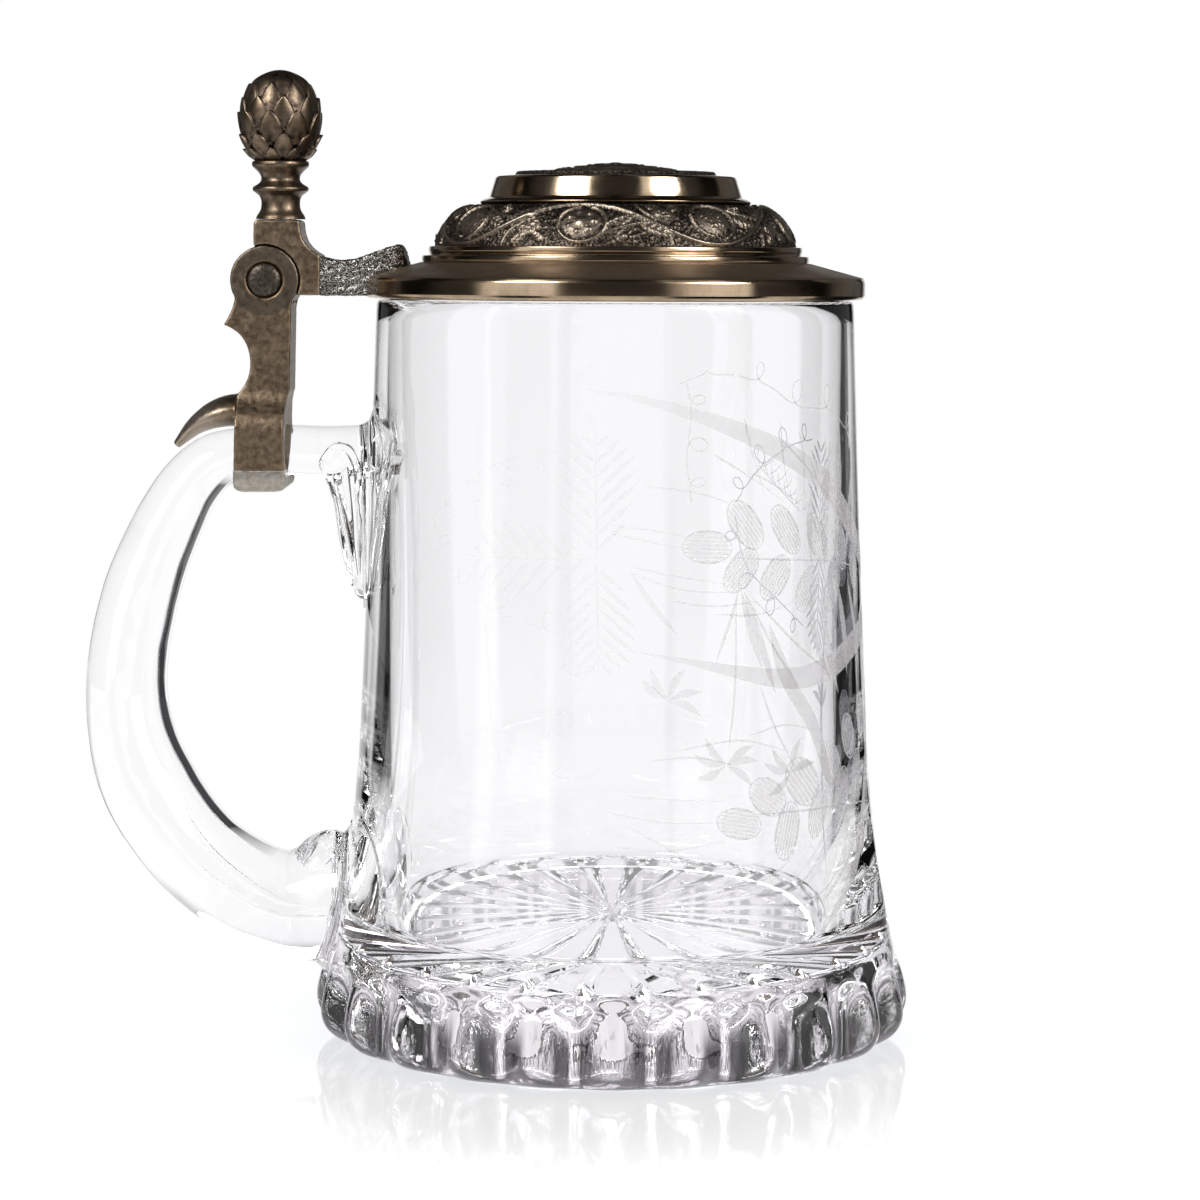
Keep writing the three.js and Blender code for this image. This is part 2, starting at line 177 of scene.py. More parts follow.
def applyModifiers(piece):
    depsgraph = bpy.context.evaluated_depsgraph_get()
    made = bpy.data.meshes.new_from_object(piece.evaluated_get(depsgraph))
    piece.modifiers.clear()
    piece.data = made


def combine(piece, others, operation):
    # joins, cuts or intersects solids, and removes the ones used
    for other in others:
        modifier = piece.modifiers.new("combine", "BOOLEAN")
        modifier.object = other
        modifier.operation = operation
        modifier.solver = "MANIFOLD"
        applyModifiers(piece)
        bpy.data.objects.remove(other)
    return piece


def setFinish(piece, finish, sharpAngle):
    piece.data.materials.clear()
    piece.data.materials.append(finish)
    smoothShade(piece, sharpAngle)


def castSurface(piece, name, voxel, rounds, finish, rough):
    # an even skin whose edges are rounded off, as on a casting, and then its grain
    piece.name = name
    remesh = piece.modifiers.new("skin", "REMESH")
    remesh.mode = "VOXEL"
    remesh.voxel_size = voxel * mm
    smooth = piece.modifiers.new("soften", "SMOOTH")
    smooth.factor = 0.5
    smooth.iterations = rounds
    applyModifiers(piece)
    setFinish(piece, finish, 80)
    return roughen(piece, *rough)


def roughen(piece, amount, grain, where=None):
    # pushes the skin in and out along its normals, by noise of a size in millimetres
    mesh = piece.data
    count = len(mesh.vertices)
    spots, normals = np.empty(count * 3), np.empty(count * 3, np.float32)
    mesh.vertices.foreach_get("co", spots)
    mesh.vertex_normals.foreach_get("vector", normals)
    spots, normals = spots.reshape(-1, 3), normals.reshape(-1, 3)
    lift = np.array([noise.fractal(Vector(spot), 1, 2, 4) for spot in spots / (grain * mm)])
    share = 1 if where is None else where(spots)
    spots += normals * (lift * amount * share * mm)[:, None]
    mesh.vertices.foreach_set("co", spots.ravel())
    mesh.update()
    return piece


def outline(start, *moves):
    # a line goes to (x, z); a bend has one control point before its end, a curve two
    points = [np.array(start, float)]
    steps = np.linspace(0, 1, 13)[1:, None]
    for move in moves:
        bend = [points[-1], *np.array(move, float).reshape(-1, 2)]
        points += bend[1:] if len(bend) == 2 else list(bezier(bend, steps))
    return np.array(points)


def arc(centre, radius, start, end, steps=40):
    angle = np.linspace(start, end, steps)
    return np.array(centre) + radius * np.stack([np.cos(angle), np.sin(angle)], -1)


def prism(shape, low, high, along="y"):
    # pushes a flat outline out along one axis; the outline's own axes are the other two
    a, b = shape[:, 0], shape[:, 1]
    ends = []
    for level in (low, high):
        c = np.full(len(a), float(level))
        ends.append(np.stack({"y": [a, c, b], "x": [c, a, b], "z": [a, b, c]}[along], -1))
    count = len(a)
    faces = [[i, (i + 1) % count, count + (i + 1) % count, count + i] for i in range(count)]
    faces += [list(range(count))[::-1], list(range(count, 2 * count))]
    return meshPiece("prism", np.vstack(ends), faces)


# Materials

def linear(code):
    # an sRGB hex colour as linear red, green, blue and alpha
    parts = [int(code[i:i + 2], 16) / 255 for i in (1, 3, 5)]
    return [c / 12.92 if c <= 0.04045 else ((c + 0.055) / 1.055)**2.4 for c in parts] + [1]


def perMm(size):
    return 1 / (size * mm)  # scale of a pattern whose features measure this many millimetres


modeOption = {"Math": "operation", "VectorMath": "operation", "Mix": "data_type",
              "MapRange": "interpolation_type", "TexNoise": "noise_dimensions"}


def addNode(tree, kind, *inputs, **named):
    # The kind may end in a mode, as in "Math MULTIPLY". Inputs fill the open sockets in order, and
    # named ones go to the socket or option of that name. Another node's output makes a link.
    kind, _, mode = kind.partition(" ")
    node = tree.nodes.new("ShaderNode" + kind)
    if mode:
        setattr(node, modeOption[kind], mode)
    values = list(zip([socket for socket in node.inputs if socket.enabled], inputs))
    for name, value in named.items():
        socket = node.inputs.get(name.replace("_", " "))
        if socket:
            values.append((socket, value))
        else:
            setattr(node, name, value)
    for socket, value in values:
        if isinstance(value, bpy.types.NodeSocket):
            tree.links.new(value, socket)
        else:
            socket.default_value = value
    return next((socket for socket in node.outputs if socket.enabled), None)


def newMaterial(name):
    # an empty material, its tree, and the place on the piece in metres
    material = bpy.data.materials.new(name)
    material.use_nodes = True
    material.node_tree.nodes.clear()
    return material, material.node_tree, addNode(material.node_tree, "TexCoord").node.outputs["Object"]


def layOver(tree, skin, colour, *shares):
    # lays a colour over the skin where all of these shares meet
    where = shares[0]
    for share in shares[1:]:
        where = addNode(tree, "Math MULTIPLY", where, share)
    return addNode(tree, "Mix RGBA", where, skin, linear(colour))


def reachFrom(tree, place, middle, counted):
    # how far the place is from a middle, by the directions that are counted
    away = addNode(tree, "VectorMath SUBTRACT", place, middle)
    return addNode(tree, "VectorMath LENGTH", addNode(tree, "VectorMath MULTIPLY", away, counted))


def finishMetal(material, tree, skin, rough, relief, depth, strength):
    # bare metal under its skin, at the default IOR, with a fine relief of a depth in millimetres
    normal = addNode(tree, "Bump", Height=relief, Distance=depth * mm, Strength=strength)
    metal = addNode(tree, "BsdfPrincipled", Base_Color=skin, Metallic=1, Roughness=rough, Normal=normal)
    addNode(tree, "OutputMaterial", Surface=metal)
    return material


# "Shows" gives where a pattern starts and is full, and then the share that it has at both
castLook = {"patina": "#877662", "dark": "#6c5c4b", "worn": "#b3a596", "blotch": 1.1, "grain": 0.32,
            "roughness": (0.3, 0.48), "bump": 0.05, "patinaShows": (0.36, 0.64),
            "speckleShows": (0.45, 0.7, 0, 0.5), "rubbedShows": (0.53, 0.62, 0, 0.8),
            "hollowShows": (0.47, 0.4, 0, 0.85), "rustRing": (3.9, 3.1), "rust": "#70502f",
            "rustShows": (0.42, 0.56), "discRadius": (6.5, 6.2), "disc": "#5d544b", "discShare": 0.7,
            "rubbedFrom": (-69.5, -75), "rubbedShare": 0.75, "rubbedBelow": 118.6}
wornLook = {**castLook, "patina": "#b1aba2", "dark": "#8f887e", "worn": "#cfc8bd"}


def castPewter(name, look=castLook, rusty=False):
    # sand cast pewter, patinated: a brown skin with a fine grain, and bright rubbed edges
    material, tree, place = newMaterial(name)
    blotches = addNode(tree, "TexNoise", place, Scale=perMm(look["blotch"]), Detail=5, Roughness=0.65)
    grain = addNode(tree, "TexNoise", place, Scale=perMm(look["grain"]), Detail=4, Roughness=0.7)
    edge = addNode(tree, "NewGeometry").node.outputs["Pointiness"]
    skin = layOver(tree, linear(look["dark"]), look["patina"],
                   addNode(tree, "MapRange", blotches, *look["patinaShows"]))
    for colour, source, shows in (("patina", grain, "speckleShows"), ("worn", edge, "rubbedShows"),
                                  ("dark", edge, "hollowShows")):
        skin = layOver(tree, skin, look[colour], addNode(tree, "MapRange", source, *look[shows]))
    if rusty:  # rust crept out from under the rivet's heads, and thumbs rubbed the tang bright
        height = hinge["pivot"][1] * mm
        reach = reachFrom(tree, place, (-axisFromPivot, 0, height), (1, 0, 1))
        disc, ring = ([r * mm for r in look[key]] for key in ("discRadius", "rustRing"))
        skin = layOver(tree, skin, look["disc"],
                       addNode(tree, "MapRange", reach, *disc, 0, look["discShare"]))
        skin = layOver(tree, skin, look["rust"], addNode(tree, "MapRange", reach, *ring),
                       addNode(tree, "MapRange", grain, *look["rustShows"]))
        start, end = (axisX + x * mm for x in look["rubbedFrom"])
        x, _, z = addNode(tree, "SeparateXYZ", place).node.outputs
        skin = layOver(tree, skin, look["worn"],
                       addNode(tree, "MapRange", x, start, end, 0, look["rubbedShare"]),
                       addNode(tree, "Math LESS_THAN", z, look["rubbedBelow"] * mm))
    rough = addNode(tree, "MapRange", blotches, 0.3, 0.7, *look["roughness"])
    return finishMetal(material, tree, skin, rough, grain, look["bump"], 0.8)


turnedLook = {"metal": "#b19d84", "tarnish": "#7f6d59", "groove": 0.22, "roughness": (0.1, 0.22),
              "bump": 0.006, "cloud": 9, "cloudShows": (0.42, 0.72), "grooveShows": (0.35, 0.65, 0, 0.25)}
matteLook = {**turnedLook, "metal": "#8c7b69", "tarnish": "#6b5d4f", "roughness": (0.42, 0.55), "bump": 0.02}


def turnedPewter(name, look):
    # lathe turned and polished pewter: fine rings that stretch each highlight, warm grey metal
    material, tree, place = newMaterial(name)
    radius = reachFrom(tree, place, (axisX, 0, 0), (1, 1, 0))
    along = addNode(tree, "Math ADD", radius, addNode(tree, "SeparateXYZ", place).node.outputs["Z"])
    rings = addNode(tree, "TexNoise 1D", along, Scale=perMm(look["groove"]), Detail=3)
    clouds = addNode(tree, "TexNoise", place, Scale=perMm(look["cloud"]), Detail=6, Roughness=0.6)
    skin = linear(look["metal"])
    for source, shows in ((clouds, "cloudShows"), (rings, "grooveShows")):
        skin = layOver(tree, skin, look["tarnish"], addNode(tree, "MapRange", source, *look[shows]))
    rough = addNode(tree, "MapRange", clouds, 0.35, 0.7, *look["roughness"])
    return finishMetal(material, tree, skin, rough, rings, look["bump"], 0.7)


reliefLook = {"colours": ("#2b2622", "#74695d", "#968a7b"), "stops": (0, 0.26, 0.9), "grain": 0.42,
              "bump": 0.12, "roughness": (0.45, 0.3)}
coneLook = {"colours": ("#14100e", "#5a4d42", "#83735f"), "stops": (0.08, 0.32, 0.98), "grain": 1.1,
            "bump": 0.08, "roughness": (0.46, 0.3)}


def reliefPewter(name, look):
    # chased relief, darkened and rubbed back: bright on top of the work, nearly black in the ground
    material, tree, place = newMaterial(name)
    grain = addNode(tree, "TexNoise", place, Scale=perMm(look["grain"]), Detail=3)
    uneven = addNode(tree, "MapRange", grain, 0.35, 0.65, -0.2, 0.2)
    height = addNode(tree, "Attribute", attribute_name="relief").node.outputs["Fac"]
    level = addNode(tree, "Math ADD", height, uneven)
    skin = addNode(tree, "ValToRGB", level)
    stops = skin.node.color_ramp.elements
    stops.new(look["stops"][1])
    for stop, position, colour in zip(stops, look["stops"], look["colours"]):
        stop.position = position
        stop.color = linear(colour)
    rough = addNode(tree, "MapRange", level, 0.2, 0.9, *look["roughness"])
    return finishMetal(material, tree, skin, rough, grain, look["bump"], 0.7)


pouredLook = {"silver": "#a8a49e", "gap": "#2b2825", "crystal": 0.27, "grain": 0.25, "bump": 0.12,
              "gapShows": (0.12, 0.34), "roughness": (0.2, 0.42)}


def pouredPewter(name):
    # metal poured on the spot and left raw: silvery, with a coarse sparkling crystal skin
    material, tree, place = newMaterial(name)
    crystals = addNode(tree, "TexVoronoi", place, Scale=perMm(pouredLook["crystal"]), Randomness=1)
    grain = addNode(tree, "TexNoise", place, Scale=perMm(pouredLook["grain"]), Detail=5, Roughness=0.75)
    level = addNode(tree, "Math MULTIPLY", crystals, grain)
    skin = layOver(tree, linear(pouredLook["silver"]), pouredLook["gap"],
                   addNode(tree, "MapRange", level, *pouredLook["gapShows"]))
    rough = addNode(tree, "MapRange", grain, 0.3, 0.7, *pouredLook["roughness"])
    return finishMetal(material, tree, skin, rough, level, pouredLook["bump"], 0.9)


steelLook = {"steel": "#565049", "stain": "#3b332c", "pit": 0.6, "stainShows": (0.45, 0.6),
             "roughness": (0.36, 0.55), "bump": 0.04}


def rivetSteel(name):
    # cold headed steel rivet: dull grey, pitted, stained brown by damp
    material, tree, place = newMaterial(name)
    pits = addNode(tree, "TexNoise", place, Scale=perMm(steelLook["pit"]), Detail=4, Roughness=0.6)
    skin = layOver(tree, linear(steelLook["steel"]), steelLook["stain"],
                   addNode(tree, "MapRange", pits, *steelLook["stainShows"]))
    rough = addNode(tree, "MapRange", pits, 0.3, 0.7, *steelLook["roughness"])
    return finishMetal(material, tree, skin, rough, pits, steelLook["bump"], 1)


# "Facing" is 0 where the surface looks at the eye and 1 edge on; pairs run from none to full
# the edge, contour, rib and ray colours below are painted shade: dark colour laid on clear glass
glassLook = {"tint": "#fefeff", "edge": "#33343a", "edgeFacing": (0.93, 1), "handleFacing": (0.8, 0.95),
             "handleFrom": (-50, -53), "ior": 1.52, "shadow": "#eceef0",
             "ripple": 14, "rippleDepth": 0.012, "flute": (1.1, 6), "fluteDepth": 0.05, "fluteTop": (15, 7.5),
             "paintedRibShade": "#322f32", "ribFacing": (0.12, 0.4), "ribRadius": (46, 47), "ribBand": (0.34, 0.56),
             "ribBandEnds": (0.95, 0.82), "paintedStreak": (0.6, 0.68), "streakShare": 0.7,
             "rayStart": (27, 34), "rayEnd": (37.8, 37), "rayBelow": (17.5, 17), "rayBand": (0.66, 0.82),
             "rayShare": 0.85, "thick": "#f1eef1", "thickBelow": (24, 16), "paintedContourShade": "#08080a",
             "insideTurned": (0.3, 0.6), "insideFacing": (0.38, 0.46), "insideFades": (0.76, 0.68)}


def clearGlass(name):
    # pressed soda-lime glass, fire polished: colourless, with painted dark shade where it turns edge on and
    # on the foot, a slow ripple from the mould and fine upright tool marks on the ribs of the foot
    material, tree, place = newMaterial(name)
    look = glassLook
    centred = addNode(tree, "VectorMath SUBTRACT", place, (axisX, 0, 0))
    x, y, z = addNode(tree, "SeparateXYZ", centred).node.outputs
    reach = reachFrom(tree, place, (axisX, 0, 0), (1, 1, 0))
    facing = addNode(tree, "LayerWeight", Blend=0.5).node.outputs["Facing"]
    ripple = addNode(tree, "TexNoise", place, Scale=perMm(look["ripple"]), Detail=1)
    wide, tall = (perMm(size) for size in look["flute"])
    drawn = addNode(tree, "VectorMath MULTIPLY", place, (wide, wide, tall))
    flutes = addNode(tree, "TexNoise", drawn, Scale=1, Detail=2)
    low = addNode(tree, "MapRange SMOOTHSTEP", z, *(level * mm for level in look["fluteTop"]))
    marks = addNode(tree, "Math MULTIPLY", flutes, low)
    normal = addNode(tree, "Bump", Height=ripple, Distance=look["rippleDepth"] * mm, Strength=0.6)
    normal = addNode(tree, "Bump", Height=marks, Distance=look["fluteDepth"] * mm, Normal=normal)

    # painted shade: the glass is coloured dark where it turns edge on, over a wider band on the handle
    onHandle = addNode(tree, "MapRange", x, *(spot * mm for spot in look["handleFrom"]))
    edges = [addNode(tree, "MapRange SMOOTHSTEP", facing, *look[key])
             for key in ("edgeFacing", "handleFacing")]
    colour = layOver(tree, linear(look["tint"]), look["edge"], addNode(tree, "Mix", onHandle, *edges))
    towards = addNode(tree, "SeparateXYZ", addNode(tree, "NewGeometry").node.outputs["Normal"])
    colour = layOver(tree, colour, look["paintedContourShade"],  # a painted dark contour, shade laid on the side towards the mug
                     addNode(tree, "MapRange SMOOTHSTEP", facing, *look["insideFacing"]),
                     addNode(tree, "MapRange SMOOTHSTEP", facing, *look["insideFades"]),
                     addNode(tree, "MapRange", towards, *look["insideTurned"]), onHandle)

    # painted shade: the ribs' valley sides, a band in each valley and streaks over the flutes are coloured
    # dark
    around = addNode(tree, "Math ARCTAN2", y, x)
    around = addNode(tree, "Math MULTIPLY", around, body["ribs"] / math.pi)
    crest = addNode(tree, "Math PINGPONG", around, 1)  # 0 on a crest, 1 in a valley
    dark = addNode(tree, "MapRange SMOOTHSTEP", facing, *look["ribFacing"])
    band = addNode(tree, "Math MULTIPLY", addNode(tree, "MapRange SMOOTHSTEP", crest, *look["ribBand"]),
                   addNode(tree, "MapRange SMOOTHSTEP", crest, *look["ribBandEnds"]))
    paintedStreak = addNode(tree, "MapRange", flutes, *look["paintedStreak"], 0, look["streakShare"])
    for share in (band, paintedStreak):
        dark = addNode(tree, "Math MAXIMUM", dark, share)
    outside = addNode(tree, "MapRange", reach, *(radius * mm for radius in look["ribRadius"]))
    colour = layOver(tree, colour, look["paintedRibShade"], dark, outside, low)
    colour = layOver(tree, colour, look["paintedRibShade"],  # painted shade: the star's rays are coloured dark where they end
                     addNode(tree, "MapRange SMOOTHSTEP", reach, *(size * mm for size in look["rayStart"])),
                     addNode(tree, "MapRange", reach, *(size * mm for size in look["rayEnd"])),
                     addNode(tree, "MapRange SMOOTHSTEP", crest, *look["rayBand"], 0, look["rayShare"]),
                     addNode(tree, "MapRange", z, *(level * mm for level in look["rayBelow"])))
    thick = addNode(tree, "MapRange SMOOTHSTEP", z, *(level * mm for level in look["thickBelow"]))
    colour = addNode(tree, "Mix RGBA", thick, colour, linear(look["thick"]), blend_type="MULTIPLY")

    glass = addNode(tree, "BsdfPrincipled", Base_Color=colour, Roughness=0, IOR=look["ior"],
                    Transmission_Weight=1, Normal=normal)
    through = addNode(tree, "BsdfTransparent", Color=linear(look["shadow"]))
    rays = addNode(tree, "LightPath").node.outputs
    soft = addNode(tree, "Math MAXIMUM", rays["Is Shadow Ray"], rays["Is Diffuse Ray"])
    addNode(tree, "OutputMaterial", Surface=addNode(tree, "MixShader", soft, glass, through))
    return material


cutLook = {"frost": "#bcb9ba", "deep": "#999698", "opacity": (0.05, 0.39), "faintToStrong": (-8, 36), "grit": 0.25,
           "scratch": 0.4, "frostShows": (0.3, 0.6), "bump": 0.05, "roughness": 0.55, "ior": 1.5}


def frostedCut(name):
    # copper wheel engraving: the ground surface scatters light, so each cut shows satin grey; the
    # cuts are made fainter on the left and stronger to the right
    material, tree, place = newMaterial(name)
    grit = addNode(tree, "TexNoise", place, Scale=perMm(cutLook["grit"]), Detail=3)
    marks = addNode(tree, "TexNoise", place, Scale=perMm(cutLook["scratch"]), Detail=2, Distortion=1.5)
    colour = layOver(tree, linear(cutLook["deep"]), cutLook["frost"],
                     addNode(tree, "MapRange", marks, *cutLook["frostShows"]))
    start, end = (axisX + x * mm for x in cutLook["faintToStrong"])
    # the cuts' opacity rises from left to right
    depth = addNode(tree, "MapRange", addNode(tree, "SeparateXYZ", place), start, end, *cutLook["opacity"])
    normal = addNode(tree, "Bump", Height=grit, Distance=cutLook["bump"] * mm)
    cut = addNode(tree, "BsdfPrincipled", Base_Color=colour, Roughness=cutLook["roughness"],
                  IOR=cutLook["ior"], Alpha=depth, Normal=normal)
    addNode(tree, "OutputMaterial", Surface=cut)
    return material


# The glass: body and handle are one fused piece

# radius, height and depth of the ribs there
body = {"outside": [(47.6, 0, 0.2), (49.8, 0.35, 0.9), (51.9, 1.3, 2), (53.6, 2.8, 3.2), (54.6, 4.8, 4),
                    (54.8, 7, 4.2), (54.4, 9.4, 3.9), (53.8, 11.6, 2.9), (53.2, 13.4, 1.6), (52.8, 15.2, 0.5),
                    (52.2, 17, 0), (51.5, 19.5, 0), (50.7, 23, 0), (49.6, 29, 0), (48.4, 37, 0), (47, 50, 0),
                    (46.1, 66, 0), (45.3, 84, 0), (44.3, 110, 0), (43.5, 133, 0)],
        "rim": 135.2, "bore": 41.3, "floor": 20.3, "bowl": 0.25, "fillet": 1.8, "ribs": 24,
        "recess": 14, "recessRadius": 40.2, "starDepth": 1.5, "rayWidth": 0.3, "columnsPerRib": 12}

outerLine = curveThrough(body["outside"], 3)


def wallRadius(z):
    return np.interp(z, outerLine[:, 1], outerLine[:, 0])


def smoothStep(value, low, high):
    t = np.clip((value - low) / (high - low), 0, 1)
    return t * t * (3 - 2 * t)


def glassRing(radius, z, drop=0, lift=0):
    angle = roundAngles(body["ribs"] * body["columnsPerRib"])
    turn = angle / (2 * math.pi) * body["ribs"]
    valley = 2 * np.abs(turn - np.round(turn))  # 0 on a rib's crest, 1 in the valley
    ray = lift * np.clip(1 - (1 - valley) / body["rayWidth"], 0, 1)  # the star's rays stand over the valleys
    return roundPoints(radius - drop * (1 - np.cos(math.pi * valley)) / 2, angle, z + ray)


def glassBody():
    rings = []
    top, deep, edge = body["recess"], body["starDepth"], body["recessRadius"]
    rim, bore, floor, fillet = body["rim"], body["bore"], body["floor"], body["fillet"]
    star = [(3, 0, 0), (8, 0, 0.1), (14, 0, 0.3), (20, 0, 0.55), (25, 0, 0.72), (30, 0, 0.86),
            (edge - 5, 0, 1), (edge - 3.6, 0, 0.7), (edge - 2.8, 0, 0), (edge - 1.5, -0.4, 0),
            (edge - 0.9, -1.5, 0)]
    for radius, below, share in star:
        rings.append(glassRing(radius, top + below, 0, deep * share))
    rings += [glassRing(edge + 0.3, 1.2), glassRing(edge + 1.2, 0)]
    rings += [glassRing(radius, z, max(depth, 0)) for radius, z, depth in outerLine]
    lip = curveThrough([(43.4, rim - 0.7), (43.2, rim - 0.2), (42.7, rim), (41.8, rim), (bore, rim - 0.6)], 3)
    rings += [glassRing(radius, z) for radius, z in lip]
    rings += [glassRing(bore, z) for z in np.linspace(rim - 4, floor + fillet + 1, 12)]
    flat = bore - fillet
    for angle in np.linspace(0, math.pi / 2, 9):
        rings.append(glassRing(flat + fillet * math.cos(angle), floor + fillet * (1 - math.sin(angle))))
    for radius in np.linspace(flat - 2, 1, 14):  # the floor inside sinks a little to the middle
        rings.append(glassRing(radius, floor - body["bowl"] * (1 - (radius / flat)**4)))
    return gridPiece("clear_glass_mug", np.array(rings))


# Rows of x, z, half thickness and half width, and in the folds a shift along y
handle = {"stations": [(-43, 107.2, 5.4, 8.8), (-52, 107.3, 4.8, 7.8), (-64, 107.5, 4.4, 7.4),
                       (-74.5, 104.5, 5.3, 7.8), (-82.5, 92.5, 6.4, 8.4), (-88, 76.5, 7.2, 8.9),
                       (-89.6, 61, 7.6, 9.3), (-86, 46.5, 8.7, 9.7), (-76.3, 32.3, 8.9, 10.2),
                       (-62.5, 24, 9.7, 11), (-50, 24.4, 12, 12.3), (-44, 24.6, 12.2, 12.4)],
          "tongue": [(-44.5, 108, 4.4, 6.6), (-46.6, 102, 4.6, 6.2), (-47.5, 96, 3.6, 4.8),
                     (-47.1, 90, 2.5, 3.6), (-46.5, 85, 1.9, 3), (-46.2, 82.2, 1.9, 2.6),
                     (-46, 80.4, 0.6, 0.8)],
          "weld": 2.6, "tongueWeld": 1.4, "endRadius": {0: 42.6, -1: 43.4}, "sides": 72,
          "waver": (0.22, 16), "waverFrom": (50, 58), "fold": ((-53.6, 0, 31.8), (6.4, 9, 4.8), 34),
          "knob": ((-50.4, -6.4, 106.6), (3.6, 2.5, 2.7), 35),
          "strands": [(4.6, 1.6, 7.5, 9.5, 0.9, -1), (0.6, -1, 8, 9.9, 0.6, -1), (3.6, 1, 7.2, 9.6, 0.6, 1)],
          "folds": [
              [(-52.8, 106.2, 0.7, 1, -6.9), (-50.6, 108.4, 0.9, 1.1, -7.2), (-47.9, 107.8, 0.9, 1.1, -7.7),
               (-46.5, 103.8, 0.8, 1, -7.5), (-47.2, 97.5, 0.7, 0.9, -5.3), (-46.8, 90, 0.4, 0.5, -3.4)],
              [(-53.2, 105.4, 0.6, 0.8, -6.6), (-51.4, 102.4, 1, 1.1, -4.9), (-50.1, 98.2, 1.1, 1.2, -2.9),
               (-49.4, 92.6, 1.1, 1.2, -1.8), (-48.5, 87.4, 1, 1.1, -1.2), (-47.3, 82.6, 0.8, 0.9, -0.6)],
              [(-50.6, 104.5, 0.8, 1, -6.2), (-49.4, 97, 0.8, 1, -4.4), (-48, 89, 0.7, 0.9, -2.6),
               (-47.4, 83, 0.3, 0.4, -1.6)],
              [(-47.6, 105, 0.9, 1, -7.3), (-47, 97.5, 0.8, 1, -5.9), (-46.8, 90, 0.6, 0.8, -4),
               (-46.6, 85, 0.3, 0.4, -3)],
              [(-45, 106, 1, 1, -8), (-44.8, 97, 1, 1, -7.4), (-45, 87, 0.8, 0.9, -5.6),
               (-45.4, 79, 0.3, 0.4, -3.6)],
              [(-50, 103.5, 0.8, 1, 6), (-48.6, 95, 0.8, 1, 4.6), (-47.2, 85, 0.3, 0.4, 2.4)]]}


def ovalBar(name, stations, steps, sides, swell=0, weld=0, endRadius={}):
    # stations: x, z, half thickness, half width and, where it has one, a shift to one side; the
    # weld flares the bar where it meets the wall
    rows = curveThrough(stations, steps)
    left = alongLine(rows[:, :2])[1]
    angle = roundAngles(sides)
    thick = (rows[:, 2] + swell)[:, None] * np.cos(angle)
    x, z = (rows[:, k:k + 1] + left[:, k:k + 1] * thick for k in (0, 1))
    y = (rows[:, 3] + swell)[:, None] * np.sin(angle)
    if rows.shape[1] > 4:
        y = y + rows[:, 4:5]
    if weld:
        away = np.clip((np.hypot(x, y) - wallRadius(z)) / weld, 0, 1)
        flare = weld * (1 - np.sqrt(1 - (1 - away)**2))
        x, z = x + left[:, :1] * np.cos(angle) * flare, z + left[:, 1:] * np.cos(angle) * flare
        y = y + np.sin(angle) * flare
    for row, radius in endRadius.items():
        x[row] = -np.sqrt(radius**2 - y[row]**2)
    return gridPiece(name, np.stack([x, y, z], -1))


def pebble(name, centre, radii, tilt):
    # an ellipsoid whose length leans up by the tilt, in degrees
    turn, up = np.meshgrid(roundAngles(48), np.linspace(-1, 1, 25) * math.pi / 2 * 0.99)
    x, y, z = np.moveaxis(roundPoints(np.cos(up), turn, np.sin(up)) * radii, -1, 0)
    c, s = math.cos(math.radians(tilt)), math.sin(math.radians(tilt))
    return gridPiece(name, np.stack([x * c - z * s, y, x * s + z * c], -1) + centre)


def handleStrand(startAcross, endAcross, first, last, size, side):
    # a fine ridge drawn out along one side of the handle as it was pulled
    t = np.linspace(0, 1, 14)
    rows = curveThrough(handle["stations"], 20)
    at = first + (last - first) * t
    rows = np.stack([np.interp(at, np.arange(len(rows)) / 20, column) for column in rows.T], -1)
    across = startAcross + (endAcross - startAcross) * t
    small = size * (0.1 + 0.9 * np.sin(math.pi * t)**0.6)
    y = side * (rows[:, 3] * np.sqrt(1 - (across / rows[:, 2])**2) - small * 0.45)
    spots = rows[:, :2] + alongLine(rows[:, :2])[1] * across[:, None]
    return ovalBar("strand", np.column_stack([spots, small, small, y]), 4, 16)


def glassHandle():
    bar = ovalBar("bar", handle["stations"], 14, handle["sides"], 0, handle["weld"], handle["endRadius"])
    start, full = handle["waverFrom"]
    return roughen(bar, *handle["waver"], lambda spots: smoothStep((axisX - spots[:, 0]) / mm, start, full))


def makeGlass():
    glass = glassBody()
    tongue = ovalBar("tongue", handle["tongue"], 8, 48, weld=handle["tongueWeld"])
    combine(glass, [glassHandle(), tongue, *(pebble(key, *handle[key]) for key in ("fold", "knob"))], "UNION")
    details = [handleStrand(*strand) for strand in handle["strands"]]
    details += [ovalBar("fold line", rows, 6, 16) for rows in handle["folds"]]
    combine(glass, details, "UNION")
    setFinish(glass, clearGlass("pressed soda-lime glass"), 42)
    handOver(glass, "mug", "clear_glass", "glass_body", "glass_handle")


# The hinge: strap, closure, rivet and arm

hinge = {"pivot": (-63.4, 138.6), "knuckle": 6.2, "seat": 6.42, "width": 12.4, "knuckles": 5, "gap": 0.3,
         "pin": 1.5, "head": 2.85, "countersink": 3.3, "countersinkDepth": 0.45, "voxel": 0.24,
         "grain": (0.035, 1)}
axisFromPivot = -(hinge["pivot"][0] * mm + axisX)  # how far the pivot lies from the frame's origin, on -X


def discY(radius, low, high, steps=72):
    return prism(arc(hinge["pivot"], radius, 0, 2 * math.pi * (1 - 1 / steps), steps), low, high)


